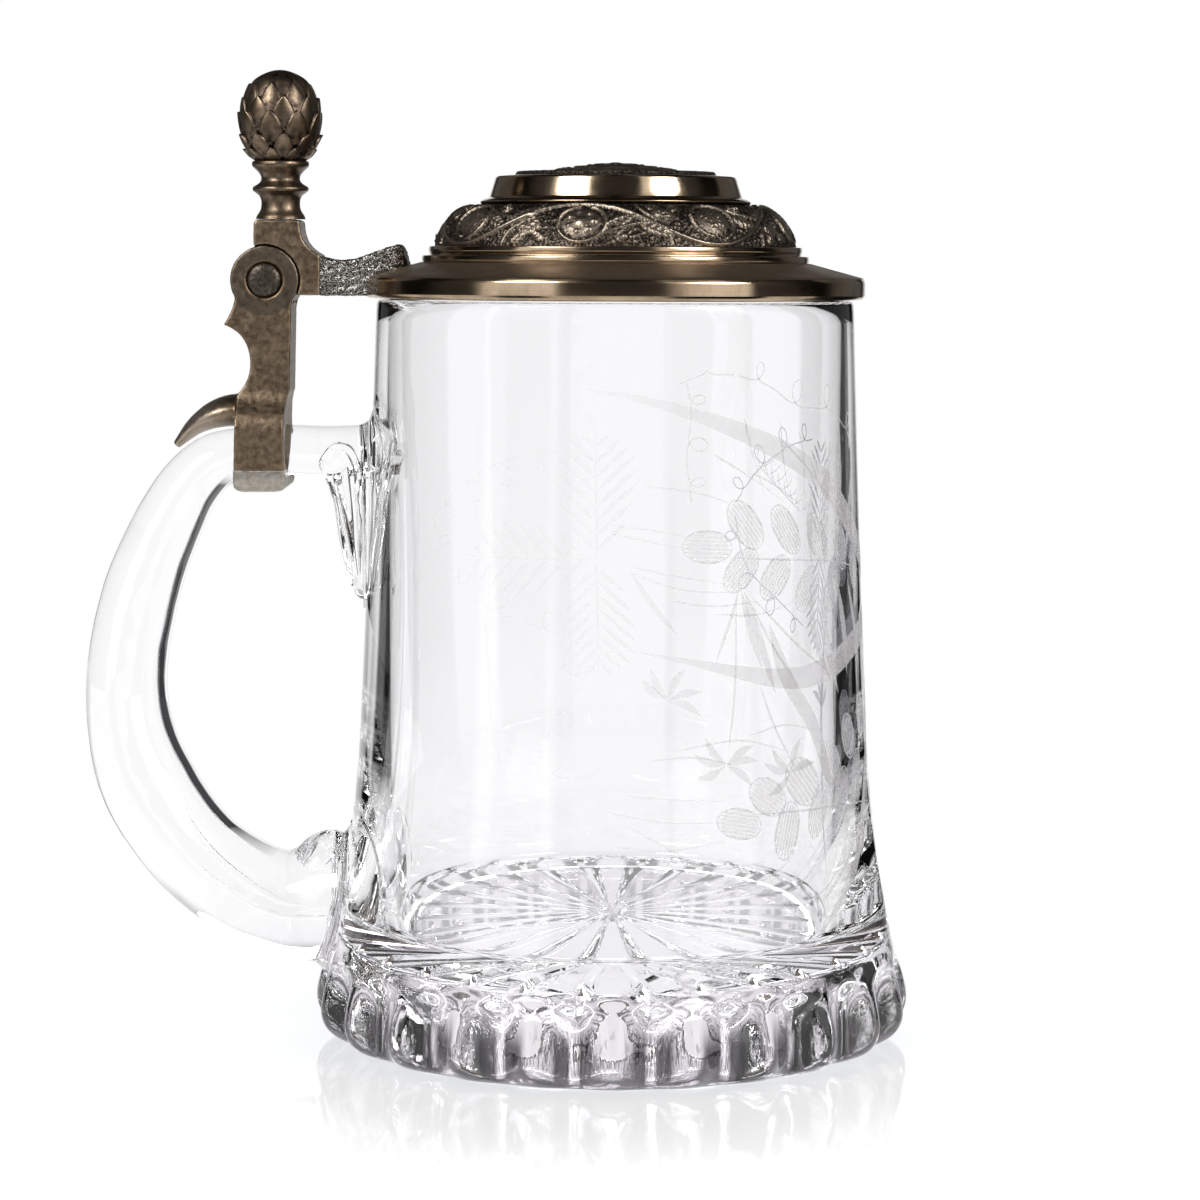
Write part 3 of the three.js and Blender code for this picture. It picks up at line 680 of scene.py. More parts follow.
def knuckleSlots(first):
    half, gap = hinge["width"] / 2, hinge["gap"]
    width = (hinge["width"] - (hinge["knuckles"] - 1) * gap) / hinge["knuckles"]
    slots = []
    for k in range(first, hinge["knuckles"], 2):
        low = -half + k * (width + gap)
        reachLow = 2 if k == 0 else gap
        reachHigh = 2 if k == hinge["knuckles"] - 1 else gap
        slots.append(discY(hinge["seat"], low - reachLow, low + width + reachHigh))
    return slots


strap = {"bottom": 104, "halfWidth": 10,
         "tang": [(-64, 115.2, 3, 6.6), (-71.2, 114.6, 2.8, 6.9), (-76.2, 112.3, 1.8, 5),
                  (-80.2, 108.4, 0.7, 1.4)]}


def strapCasting():
    half, low, wide = hinge["width"] / 2, strap["bottom"], strap["halfWidth"]
    shape = outline((-68.5, 117.8), (-68.8, low), (-59.6, low), (-59.8, 113), (-59.6, 117, -58.9, 118.6),
                    (-58.6, 133.4))
    round = arc(hinge["pivot"], hinge["knuckle"], -0.62, 2 * math.pi - 2.62, 60)
    nose = outline(round[-1], (-68.9, 133.4, -70.8, 130.5), (-66.2, 129, -66, 123.6),
                   (-66, 120.4, -68.5, 117.8))
    side = prism(np.vstack([shape, round, nose[1:-1]]), -12, 12)
    top = hinge["pivot"][1] + hinge["knuckle"] + 1
    front = outline((half, top), (half, 119.5), (half, 115.5, wide, 115.5, wide, 111), (wide, low - 1),
                    (-wide, low - 1), (-wide, 111), (-wide, 115.5, -half, 115.5, -half, 119.5), (-half, top))
    combine(side, [prism(front, -72, -56, "x")], "INTERSECT")
    combine(side, [ovalBar("tang", strap["tang"], 12, 40)], "UNION")
    sink, wider = half - hinge["countersinkDepth"], half + 1
    combine(side, [ovalBar("handle space", handle["stations"], 8, 48, swell=hinge["gap"]), *knuckleSlots(1),
                   discY(hinge["pin"] + hinge["gap"], -wider, wider),
                   discY(hinge["countersink"], sink, wider), discY(hinge["countersink"], -wider, -sink)],
            "DIFFERENCE")
    finish = castPewter("cast pewter with rust round the rivet", rusty=True)
    return castSurface(side, "strap_casting", hinge["voxel"], 3, finish, hinge["grain"])


def pouredClosure():
    top, wide = strap["bottom"] + 0.4, strap["halfWidth"] + 0.2
    shape = outline((-68.9, top), (-68.9, 101.6), (-68.7, 100.5, -67, 100.3), (-61, 100.5),
                    (-59.5, 100.7, -59.4, 101.8), (-59.4, top))
    closure = prism(shape, -12, 12)
    front = outline((wide, top + 1), (wide, 100, wide - 4, 100), (4 - wide, 100),
                    (-wide, 100, -wide, top + 1))
    combine(closure, [prism(front, -72, -57, "x")], "INTERSECT")
    combine(closure, [ovalBar("handle space", handle["stations"], 8, 48, swell=0.15)], "DIFFERENCE")
    finish = castPewter("poured pewter, dull", wornLook)
    return castSurface(closure, "poured_strap_closure", hinge["voxel"], 4, finish, (0.12, 1.6))


def rivet():
    floor = hinge["width"] / 2 - hinge["countersinkDepth"] + hinge["gap"]
    head, pin = hinge["head"], hinge["pin"]
    half = roundedProfile([(0, floor + 0.8), (1.8, floor + 0.72), (head - 0.3, floor + 0.55),
                           (head, floor + 0.3), (head, floor, 0.2), (pin, floor), (pin, 0)])
    grid = turned(np.vstack([half, (half * [1, -1])[::-1]]), 64)[..., [0, 2, 1]]  # turned to lie along Y
    grid += [hinge["pivot"][0], 0, hinge["pivot"][1]]
    return gridPiece("hinge_rivet", grid, [rivetSteel("steel rivet, stained")])


arm = {"bottom": 135.9, "end": -53.3, "top": 149.5}


def armCasting():
    half, low, end, top = hinge["width"] / 2, arm["bottom"], arm["end"], arm["top"]
    start = math.asin((low - hinge["pivot"][1]) / hinge["knuckle"])
    round = arc(hinge["pivot"], hinge["knuckle"], start, 1.89 - 2 * math.pi, 60)
    rest = outline(round[-1], (-65.3, top - 1), (-65.3, top, -64.3, top), (-57.9, top),
                   (-56.9, top, -56.9, top - 1), (-56.9, 145.6, -55.3, 144, end, 143.1), (end, low))
    piece = prism(np.vstack([round, rest[1:]]), -half, half)
    combine(piece, [*knuckleSlots(0), discY(hinge["pin"] + hinge["gap"], -half - 1, half + 1)], "DIFFERENCE")
    return castSurface(piece, "lid_arm_casting", hinge["voxel"], 3, castPewter("cast pewter"), hinge["grain"])


def pouredJoint():
    low, half = arm["bottom"], hinge["width"] / 2
    start = arm["end"] - 0.2
    side = outline((start, low), (start, 142.9), (-50, 141.4, -45.5, 142.9), (-39.4, 145.1),
                   (-38.2, 145.1, -37.4, 140.5), (-44, 137.5), (-44.6, low))
    plan = outline((start, half - 0.3), (-49, 5.6, -46, 7.6, -42, 7.6), (-38, 7.4, -37, 3, -37, 0),
                   (-37, -3, -38, -7.4, -42, -7.6), (-46, -7.6, -49, -5.6, start, 0.3 - half))
    piece = prism(side, -9, 9)
    combine(piece, [prism(plan, 134, 148, "z")], "INTERSECT")
    return castSurface(piece, "poured_lid_joint", 0.22, 3, pouredPewter("poured pewter, bright"), (0.2, 0.7))


def makeHinge():
    handOver(strapCasting(), "mug", "pewter", "handle_strap")
    handOver(pouredClosure(), "mug", "poured_pewter", "strap_closure")
    handOver(rivet(), "mug", "steel", "hinge_pin")
    handOver(armCasting(), "lid", "pewter", "hinge_arm")
    handOver(pouredJoint(), "lid", "poured_pewter", "lid_solder")


# The thumblift: a turned baluster under a hop cone

# the baluster's outline is radius, height and rounding
thumblift = {"x": -60.9, "top": 176.8, "cone": 7.8, "coneMiddle": 167, "coneBottom": 158, "coneTop": 176.5,
             "coneFoot": 160.2, "rows": 6, "scales": 9, "scaleLength": 6.2, "proud": 1, "bevel": 0.35,
             "columns": 396,
             "baluster": [(0, 149.6), (4.5, 149.6), (4.4, 150.1, 0.3), (3.5, 151.4, 1), (3.5, 153.6, 1.4),
                          (5, 154.7, 0.2), (5.1, 155, 0.1), (5, 155.4, 0.2), (3.5, 156.3, 1.2),
                          (3.5, 157.6, 1.2), (5.1, 159.1, 0.3), (5.2, 159.5, 0.1), (5.1, 160, 0.2),
                          (3.6, 160.5), (0, 160.5)]}


def coneSkin(z):
    middle = thumblift["coneMiddle"]
    half = np.where(z > middle, thumblift["coneTop"] - middle, middle - thumblift["coneBottom"])
    level = (z - middle) / half
    return (thumblift["cone"] - 0.8) * np.sqrt(np.clip(1 - level**2, 0, 1))


def scaleHeight(angle, z):
    # overlapping pointed scales, each tip standing off the root of the next row
    height = np.full(angle.shape, 0.0)
    bottom, top = thumblift["coneFoot"], thumblift["top"] - 0.4
    step = (top - bottom) / (thumblift["rows"] + 0.3)
    for row in range(-1, thumblift["rows"] + 1):
        root = bottom + row * step
        length = thumblift["scaleLength"] * (0.75 if row < 1 else 1)
        up = (z - root) / length
        turn = angle / (2 * math.pi) * thumblift["scales"] + (row % 2) / 2
        side = (turn - np.round(turn)) * 2
        halfWidth = 1.04 * np.cos(np.clip(up, 0, 1) * math.pi / 2)**0.62
        inside = (up > 0) & (up < 1) & (np.abs(side) < halfWidth)
        share = np.where(inside, np.abs(side) / np.maximum(halfWidth, 1e-6), 1)
        crown = 0.14 + 0.74 * np.clip(up, 0, 1)**1.7 + 0.12 * (1 - share**2)
        crown *= 1 - thumblift["bevel"] * smoothStep(share, 0.86, 1)
        height = np.maximum(height, np.where(inside, crown * thumblift["proud"], 0))
    return height


def makeThumblift():
    baluster = roundedProfile(thumblift["baluster"], 5)
    z = np.linspace(159.8, thumblift["coneTop"], 170)[:, None]
    angle = roundAngles(thumblift["columns"]) + 0 * z
    proud = scaleHeight(angle, z + 0 * angle) * smoothStep(thumblift["top"] - z, 0.2, 2.5)
    cone = roundPoints(coneSkin(z) + proud * smoothStep(z, 159.8, 161), angle, z)
    middle = [thumblift["x"], 0, 0]
    finish = reliefPewter("cast pewter, dark between the scales", coneLook)
    piece = gridPiece("hop_cone_thumblift", cone + middle, [finish], sharpAngle=60)
    joinInto(piece, gridPiece("baluster", turned(fineRows(baluster, 0.5), 96) + middle, [finish]))
    spots = np.array([v.co for v in piece.data.vertices]) / mm
    reach = np.hypot(spots[:, 0] - axisX / mm - thumblift["x"], spots[:, 1])
    onCone = spots[:, 2] > thumblift["coneFoot"]
    proud = (reach - coneSkin(spots[:, 2])) / thumblift["proud"]
    shareOfRelief(piece, np.where(onCone, np.where(spots[:, 2] > thumblift["top"] - 1.2, 0.5, proud), 0.55))
    handOver(piece, "lid", "pewter", "thumblift")


def joinInto(piece, other):
    # one mesh that holds both shells
    work = bmesh.new()
    work.from_mesh(piece.data)
    work.from_mesh(other.data)
    work.to_mesh(piece.data)
    work.free()
    bpy.data.objects.remove(other)


# The lid: a turned casting with a chased vine band and a relief disc let into the top

lid = {"bottom": 135.5, "radius": 45.45, "shelf": 35.25, "step": 34, "domeFoot": (33.3, 144.9),
       "domeTop": (24.8, 152.7), "domeSide": (30.7, 152.4), "bandBottom": (23, 153.4),
       "bandTop": (21.9, 157.2), "medallion": 18.6, "wall": 1.9, "columns": 288}


def lidCasting(polished, matte):
    low, seat = lid["bottom"], lid["bandTop"][1] - 0.5
    (topR, topZ), (bandR, bandZ), (tipR, tipZ) = lid["domeTop"], lid["bandBottom"], lid["bandTop"]
    disc, shelf, step = lid["medallion"] + 0.3, lid["shelf"], lid["step"]
    rim, wall = lid["radius"], lid["wall"]
    footR, footZ = lid["domeFoot"]
    upper = [(0, seat), (disc, seat), (disc, tipZ + 0.5, 0.1), (tipR - 0.25, tipZ + 0.3, 0.12),
             (tipR, tipZ, 0.12), (bandR, bandZ + 0.25, 0.2), (bandR + 0.9, bandZ, 0.15),
             (bandR + 1.7, bandZ - 0.45, 0.2), (topR - 0.6, topZ - 0.6)]
    sunk = curveThrough([(topR - 1.2, topZ - 1.2), (30, 148.3), (footR - 1.6, footZ + 0.3)], 8)
    lower = [(footR - 0.4, footZ), (step - 0.1, footZ - 0.05, 0.15), (step, footZ - 0.8, 0.15),
             (step - 0.2, 143.5, 0.1), (step - 0.15, 143.25, 0.1), (shelf - 0.1, 143.2, 0.15),
             (shelf, 142.5, 0.15), (shelf - 0.1, 142.05, 0.1)]
    slope = [(shelf + 0.2, 141.95), (rim - 0.6, 139.4)]
    edge = [(rim - 0.3, 139.25), (rim, 138.7, 0.3), (rim, low + 0.6, 0.4), (rim - 0.5, low, 0.3), (43.8, low),
            (39.6, low, 0.3)]
    under = [(39, low + 1.6, 0.5), (shelf - 1.6, 140, 0.6), (footR - wall, 143, 0.6), (30, 146.2, 0.8),
             (27.6, 149, 0.8), (23.4, 151.4, 0.5), (tipR - wall, 152, 0.4),
             (tipR - wall - 0.8, seat - wall, 0.6), (0, seat - wall)]
    rows, finish = [], []
    for points, kind in ((upper, 0), (sunk, 1), (lower, 0), (slope, 1), (edge, 0), (under, 0)):  # 1 is matte
        rows.append(fineRows(points if points is sunk else roundedProfile(points), 1.5))
        finish += [kind] * len(rows[-1])
    return gridPiece("lid_casting", turned(np.vstack(rows), lid["columns"]), [polished, matte],
                     rowFinish=finish[:-1], sharpAngle=30)


class Relief:
    # a height map that strokes and leaves are laid on, each only where it stands highest
    def __init__(self, s, t):
        self.s, self.t = s, t
        self.height = np.zeros(s.shape)

    def lay(self, height):
        self.height = np.maximum(self.height, height)

    def stem(self, points, radius, tall):
        line = curveThrough(points, 10)
        nearest = np.full(self.s.shape, 1e9)
        width = np.linspace(1, 0.7, len(line))
        for (x, y), w in zip(line, width):
            nearest = np.minimum(nearest, np.hypot(self.s - x, self.t - y) / w)
        self.lay(tall * np.sqrt(np.clip(1 - (nearest / radius)**2, 0, 1)))

    def leaf(self, x, y, heading, length, width, tall, veins=3):
        c, s = math.cos(heading), math.sin(heading)
        u = ((self.s - x) * c + (self.t - y) * s) / length
        v = (self.t - y) * c - (self.s - x) * s
        half = width * np.sin(math.pi * np.clip(u, 0, 1)**0.75)
        share = np.abs(v) / np.maximum(half, 1e-6)
        top = tall * np.sqrt(np.clip(1 - share**2, 0, 1))**0.7
        top -= 0.4 * tall * np.exp(-(v / 0.14)**2)
        top *= 0.76 + 0.24 * np.cos((u * length - np.abs(v)) * 2 * math.pi * veins / length)
        self.lay(np.where((u > 0) & (u < 1) & (share < 1), np.clip(top, 0, None), 0))

    def berry(self, x, y, radius, tall):
        d = np.hypot(self.s - x, self.t - y) / radius
        self.lay(tall * np.sqrt(np.clip(1 - d**2, 0, 1)))


def spiral(x, y, radius, start, sweep, end=0.35, count=9):
    turn = np.linspace(0, 1, count)
    r = radius * (1 - (1 - end) * turn**1.6)
    angle = start + sweep * turn
    return [(x + a * math.cos(b), y + a * math.sin(b)) for a, b in zip(r, angle)]


def hopCone(relief, x, y, heading, size):
    # a hop cone in low relief: rows of round bracts, narrowing to the tip
    c, s = math.cos(heading), math.sin(heading)
    for row in range(5):
        along = size * (0.25 + 0.4 * row)
        wide = size * (0.62, 0.78, 0.7, 0.48, 0.2)[row]
        for k in (-1, 0, 1) if row % 2 else (-0.5, 0.5):
            off = k * wide * 0.8
            relief.berry(x + c * along - s * off, y + s * along + c * off, size * 0.42, 0.62 - 0.03 * row)


# twigs are places across and up in a bend, a thickness and a height; fronds are a place, a heading,
# a length, a width and a height
vineBand = {"repeats": 4, "columns": 1040, "rows": 66, "depth": 0.6, "stem": 0.5, "ring": 4.3, "middle": 5.4,
            "swing": 4.9, "turn": 12, "stipple": 0.26, "stippleSize": 0.5,
            "sunk": 0.42, "thick": 1.5,
            "twigs": [([(14.9, 3.9), (12, 4.8), (9.3, 4.5), (6.4, 3.6), (3.9, 2.4)], 0.75, 0.48),
                      ([(12.6, 4.4), (14.4, 3), (15.2, 1.6), (15.4, 0.3)], 0.6, 0.42),
                      ([(-13.4, 0.3), (-12.6, 2.6), (-10.8, 4.6), (-8.2, 6)], 0.6, 0.42)],
            "fronds": [(4.9, 4.6, 0.42, 5.6, 1.25, 0.5), (16.4, 5.6, 2.3, 4.6, 1.3, 0.5),
                       (12.2, 6.6, 0.5, 3.6, 1, 0.5), (-12.8, 6.2, 0.5, 6, 1.15, 0.5),
                       (-11.4, 0.6, 0.9, 3.4, 1, 0.5), (-5.6, 1.2, 2.5, 3.4, 0.9, 0.5),
                       (-1, 11.6, 0.1, 4.4, 0.8, 0.4)]}


def scrollBend(relief, x, side):
    # what one bend of the vine holds; side is 1 at a crest and -1 at a trough, where all is upside down
    middle, stem, ring = vineBand["middle"], vineBand["stem"], vineBand["ring"]

    def spot(across, up):
        return (x + across, middle + side * (up - middle))

    centre = spot(0.3, 5.1)
    relief.stem(spiral(*centre, ring, side * 1.2, -side * 5.7, 0.9, 14), stem * 0.8, 0.5)
    relief.berry(*centre, ring * 0.78, 0.36)
    if side > 0:
        for k in range(7):
            turn = 2 * math.pi * k / 7
            relief.berry(centre[0] + 2.2 * math.cos(turn), centre[1] + 2.2 * math.sin(turn), 0.62, 0.5)
        relief.berry(*centre, 1.3, 0.56)
    else:
        for turn in (-2.3, -1.2, -0.1, 1, 2.1):
            relief.leaf(*centre, turn + 0.6, 2.9, 0.9, 0.55)
    for twig, thick, tall in vineBand["twigs"]:
        relief.stem([spot(*place) for place in twig], stem * thick, tall)
    relief.stem(spiral(*spot(7.6, 2), 1.25, 1.9, 4.6, 0.7, 8), stem * 0.5, 0.4)
    relief.berry(*spot(7.6, 2), 0.6, 0.6)
    for across, up, heading, *size in vineBand["fronds"]:
        relief.leaf(*spot(across, up), side * heading, *size, 5)


def vineRelief(width, s, t):
    # one repeat of the scroll: a waving vine with a full curl in each bend, fruit and leaf by turns
    relief = Relief(s, t)
    middle, swing = vineBand["middle"], vineBand["swing"]
    for shift in (-width, 0, width):
        wave = [(shift + width * k / 16, middle + swing * math.cos(2 * math.pi * k / 16)) for k in range(17)]
        relief.stem(wave, vineBand["stem"], 0.58)
        scrollBend(relief, shift, 1)
        scrollBend(relief, shift + width / 2, -1)
    return relief.height


def vineBandPiece(finish):
    foot, side, top = (np.array(lid[k]) for k in ("domeFoot", "domeSide", "domeTop"))
    rows, columns = vineBand["rows"], vineBand["columns"]
    line = bezier([foot, side, top], np.linspace(0, 1, 200)[:, None])
    length = lengthAlong(line)
    even = np.linspace(0, length[-1], rows)
    line = np.stack([np.interp(even, length, row) for row in line.T], -1)
    normal = -alongLine(line)[1]
    around = 2 * math.pi * line[:, 0].mean()
    width = around / vineBand["repeats"]
    s = (np.arange(columns) / columns + vineBand["turn"] / 360) * around % width + 0 * even[:, None]
    height = vineRelief(width, s, even[:, None] + 0 * s)
    angle = roundAngles(columns)
    size = vineBand["stippleSize"]
    ground = np.array([[noise.noise(Vector((r * math.cos(a), r * math.sin(a), z)) / size) for a in angle]
                       for r, z in line])
    calm = smoothStep(height, 0.02, 0.15)
    lift = height * vineBand["depth"] / 0.6 + ground * vineBand["stipple"] * (1 - 0.8 * calm)
    fade = np.minimum(smoothStep(even, 0, 0.5), 1 - smoothStep(even, length[-1] - 0.5, length[-1]))[:, None]
    lift = lift * fade - vineBand["sunk"]
    skin = roundPoints(line[:, :1] + normal[:, :1] * lift, angle, line[:, 1:] + normal[:, 1:] * lift)
    inner = turned((line - normal * vineBand["thick"])[[-1, rows // 2, 0]], columns)
    piece = gridPiece("lid_vine_band", np.vstack([skin, inner]), [finish], ring=True, sharpAngle=70)
    shares = (lift + vineBand["sunk"]).ravel() / vineBand["depth"]
    shareOfRelief(piece, np.concatenate([shares, np.zeros(3 * columns)]))
    return piece


def shareOfRelief(piece, values):
    attribute = piece.data.attributes.new("relief", "FLOAT", "POINT")
    attribute.data.foreach_set("value", np.clip(values, 0, 1).astype(np.float32))


medallion = {"radius": 18.6, "bottom": 157, "dome": 2.1, "domeRadius": 15.5, "border": 0.9, "columns": 480,
             "rows": 84, "depth": 0.75, "darkTo": (0.9, 3)}


def medallionRelief(x, y):
    relief = Relief(x, y)
    for k in range(8):
        turn = k * math.pi / 4
        relief.leaf(1.6 * math.cos(turn), 1.6 * math.sin(turn), turn, 4.4, 1.35, 0.6)
    relief.berry(0, 0, 1.9, 0.75)
    for k in range(12):
        turn = k * math.pi / 6
        c, s, onward = math.cos(turn), math.sin(turn), turn + 1.57
        if k % 2:
            hopCone(relief, 10.8 * c - 1.6 * math.cos(onward), 10.8 * s - 1.6 * math.sin(onward), onward, 1.7)
        else:
            for spread in (-0.9, 0, 0.9):
                relief.leaf(8.6 * c, 8.6 * s, turn + spread, 4.4, 1.1, 0.5)
    for radius, half, tall in ((7.4, 0.4, 0.45), (15, 0.35, 0.5)):  # two plain rings
        relief.lay(tall * np.sqrt(np.clip(1 - ((np.hypot(x, y) - radius) / half)**2, 0, 1)))
    return relief.height


def medallionPiece(finish):
    radius, rows, columns = medallion["radius"], medallion["rows"], medallion["columns"]
    r = np.linspace(0, radius, rows)[:, None]
    angle = roundAngles(columns)
    x, y = r * np.cos(angle), r * np.sin(angle)
    height = medallionRelief(x, y) * medallion["depth"]
    border = medallion["border"] * smoothStep(r, radius - 2.4, radius - 1.8)
    border *= 1 - smoothStep(r, radius - 0.7, radius - 0.1)
    flat = medallion["domeRadius"]
    dome = 0.5 + medallion["dome"] * (1 - (np.minimum(r, flat) / flat)**2)
    ground = np.array([[noise.noise(Vector((a, b, 3)) * 2) for a, b in zip(p, q)] for p, q in zip(x, y)])
    top = medallion["bottom"] + dome + np.maximum(height, border) + 0.05 * ground * (height < 0.02)
    under = turned(np.array([[radius, medallion["bottom"]], [0, medallion["bottom"]]]), columns)
    grid = np.vstack([np.stack([x, y, top], -1), under])
    piece = gridPiece("lid_medallion_relief", grid, [finish], sharpAngle=70)
    z = np.array([v.co.z for v in piece.data.vertices]) / mm - medallion["bottom"]
    low, high = medallion["darkTo"]
    shareOfRelief(piece, (z - low) / (high - low))
    return piece


def makeLid():
    polished = turnedPewter("turned pewter, polished", turnedLook)
    matte = turnedPewter("turned pewter, left matte", matteLook)
    relief = reliefPewter("chased pewter relief", reliefLook)
    handOver(lidCasting(polished, matte), "lid", "pewter", "lid")
    handOver(vineBandPiece(relief), "lid", "pewter", "lid")
    handOver(medallionPiece(relief), "lid", "pewter", "lid_medallion")


# Cut decoration: hops and barley round the near and right side of the wall.
# Each place is (degrees round the axis from the front, height).

# Corns are a place, a tilt, a length and a width, and awns are paths. A stem or petal is a path and
# its width. A sprig is a place and the headings of its blades. A leaf is its root, tip, width and
# pairs of blades. A tendril is a path, its curls and their size.
cuts = {"lift": 0.02, "crown": 0.06, "meanRadius": 46, "awn": 0.34, "ribbonWidth": 4.6, "fern": 0.3,
        "ears": [([((20.8, 93.6), -3, 9.5, 5.6), ((30.2, 97.2), -52, 10, 5.6), ((41.6, 96), -55, 10, 5.2),
                   ((52.6, 94), -62, 10, 5.2), ((63, 92.4), -70, 9.5, 5), ((29, 89.4), 48, 9, 5.4),
                   ((38.2, 87.8), 50, 9, 5.4), ((48.4, 85.4), 54, 9, 5.2), ((58.4, 85), 60, 9, 5),
                   ((72, 88), -80, 8, 4.6)],
                  [[(30, 99.8), (19, 102.8), (5.6, 104.2)], [(41, 101), (28, 107), (22, 109.5)],
                   [(52, 97.5), (38, 104), (30.5, 106.4)], [(64, 97), (50, 106), (40, 112)],
                   [(17, 95.2), (8, 96.6), (-1, 97.4)], [(17, 93.2), (8, 94.6), (-2, 96.2)],
                   [(26, 87), (14, 88.6), (2.4, 90.6)], [(27, 85.6), (14.5, 86.4), (3, 89.4)],
                   [(35, 84), (22, 83.4), (10, 84.8)], [(44, 83.4), (33, 81.6), (22, 82)],
                   [(36, 101), (32, 110), (30, 116)], [(43, 101), (41, 109), (40.5, 115)],
                   [(47, 98), (48, 107), (46.5, 113)], [(54, 98), (56, 106), (57, 112)],
                   [(83, 86), (60, 89.5), (26, 91.6)]]),
                 ([((27.4, 45.6), -12, 8.6, 5.2), ((34.8, 49.8), -35, 8.4, 6), ((45, 51.7), -50, 9.4, 7.4),
                   ((55.5, 54), -65, 8.6, 6), ((64.6, 58), -72, 8.4, 5.4), ((39.6, 43.6), 72, 10.4, 5),
                   ((49.6, 46.2), 66, 10, 4.4), ((59.6, 48.2), 68, 10, 4.8), ((68.6, 50.4), 74, 10, 4.6),
                   ((74, 61), -78, 8, 4.8)],
                  [[(32, 54.4), (18, 57.4), (6, 57)], [(42, 57), (28, 60), (12, 58.6)],
                   [(24, 49.6), (12, 50.4), (1, 51.2)], [(23, 46), (10, 46.6), (-3, 48.6)],
                   [(24, 43), (11, 41.6), (-2, 42.6)], [(36, 39), (20, 38.6), (2, 46.4)],
                   [(45, 42), (34, 36), (14, 31.8)], [(53, 42), (44, 35), (31, 31)],
                   [(61, 42), (53, 34), (40, 29.4)], [(52, 60), (40, 62), (30, 60.6)],
                   [(86, 44), (64, 46), (30, 47)]])],
        "ribbon": [(-10, 121), (5, 119), (19, 116), (30, 113), (44, 108.6), (56, 103.8), (66, 98),
                   (77, 91.6), (87, 87), (97, 83), (90, 79), (79, 76.4), (68, 73.8), (57, 71.2), (46, 70),
                   (37, 70.4), (28, 71.8), (17, 73.8), (4, 76)],
        "stems": [([(28.4, 86), (25.6, 80), (22.4, 73.6)], 0.6), ([(28.8, 86), (31, 79), (34.2, 71.6)], 1.1),
                  ([(29.4, 86), (33.6, 77), (37.6, 67.6)], 1.5), ([(30.2, 85), (37, 76), (45, 68)], 0.5),
                  ([(31, 85), (44, 76), (56, 70)], 0.45), ([(36, 80), (41, 70), (50, 60), (56, 47)], 3),
                  ([(27.6, 86), (27, 70), (25, 57)], 0.4), ([(33, 70), (37, 62), (42.4, 54.6)], 0.45),
                  ([(3, 90), (8, 84), (13.6, 78.6)], 0.9), ([(94, 83), (84, 60), (66, 38), (46, 24.5)], 2.6),
                  ([(90, 80), (78, 52), (62, 38), (48, 30)], 1), ([(84, 60), (74, 42), (60, 34)], 0.8),
                  ([(98, 84), (104, 60), (98, 36), (84, 24)], 1.6)],
        "sprigs": [((11.5, 67.4), (140, 118, 60, 12, -25)), ((24.6, 55.8), (128, 160, 200, 30, 4, -38)),
                   ((41.4, 53.6), (132, 65, 160, 10, 215)), ((88, 70), (40, 75, 110, 5)),
                   ((104, 58), (20, 55, 95, 130))],
        "leaves": [((-4, 91.8), (-4.6, 115), 15, 8), ((-4, 91.4), (-3.4, 70), 14, 8),
                   ((-5, 91.6), (-37, 91.6), 13, 7)],
        "petals": [([(55, 88), (56, 99), (59, 111)], 2.6), ([(60, 90), (63, 101), (64.6, 113)], 2),
                   ([(50, 89), (49.6, 97), (51, 104)], 1.6), ([(66, 90), (70, 99), (73, 108)], 1.8),
                   ([(54, 86), (55, 76), (60, 66)], 2.4), ([(49, 86), (51, 76), (57, 68)], 1.5),
                   ([(61, 86), (64, 77), (65, 69)], 2), ([(67, 86), (71, 78), (74, 70)], 1.6)],
        "farLeaves": [((108, 88), (108, 110), 14, 8), ((108, 87), (109, 66), 13, 8)],
        "tendrils": [([(14, 121.5), (20, 123), (28, 123)], 1, 0.4),
                     ([(28, 123), (37, 121), (46, 117.4), (60, 116), (74, 110)], 4, 2.3),
                     ([(16, 122), (17, 116), (16, 109), (17, 101)], 3, 1.9),
                     ([(-13, 110), (-26, 108), (-36, 104), (-45, 98)], 4, 2.2),
                     ([(-45, 98), (-42, 90), (-32, 84), (-18, 80), (-10, 78)], 4, 2.2),
                     ([(-9, 78), (-13, 70), (-14, 60), (-13, 50)], 3, 2.2),
                     ([(114, 108), (126, 106), (138, 101), (146, 94)], 4, 2.2),
                     ([(146, 92), (142, 82), (130, 76), (118, 72)], 4, 2.2)]}
perDegree = math.radians(cuts["meanRadius"])  # millimetres round the wall


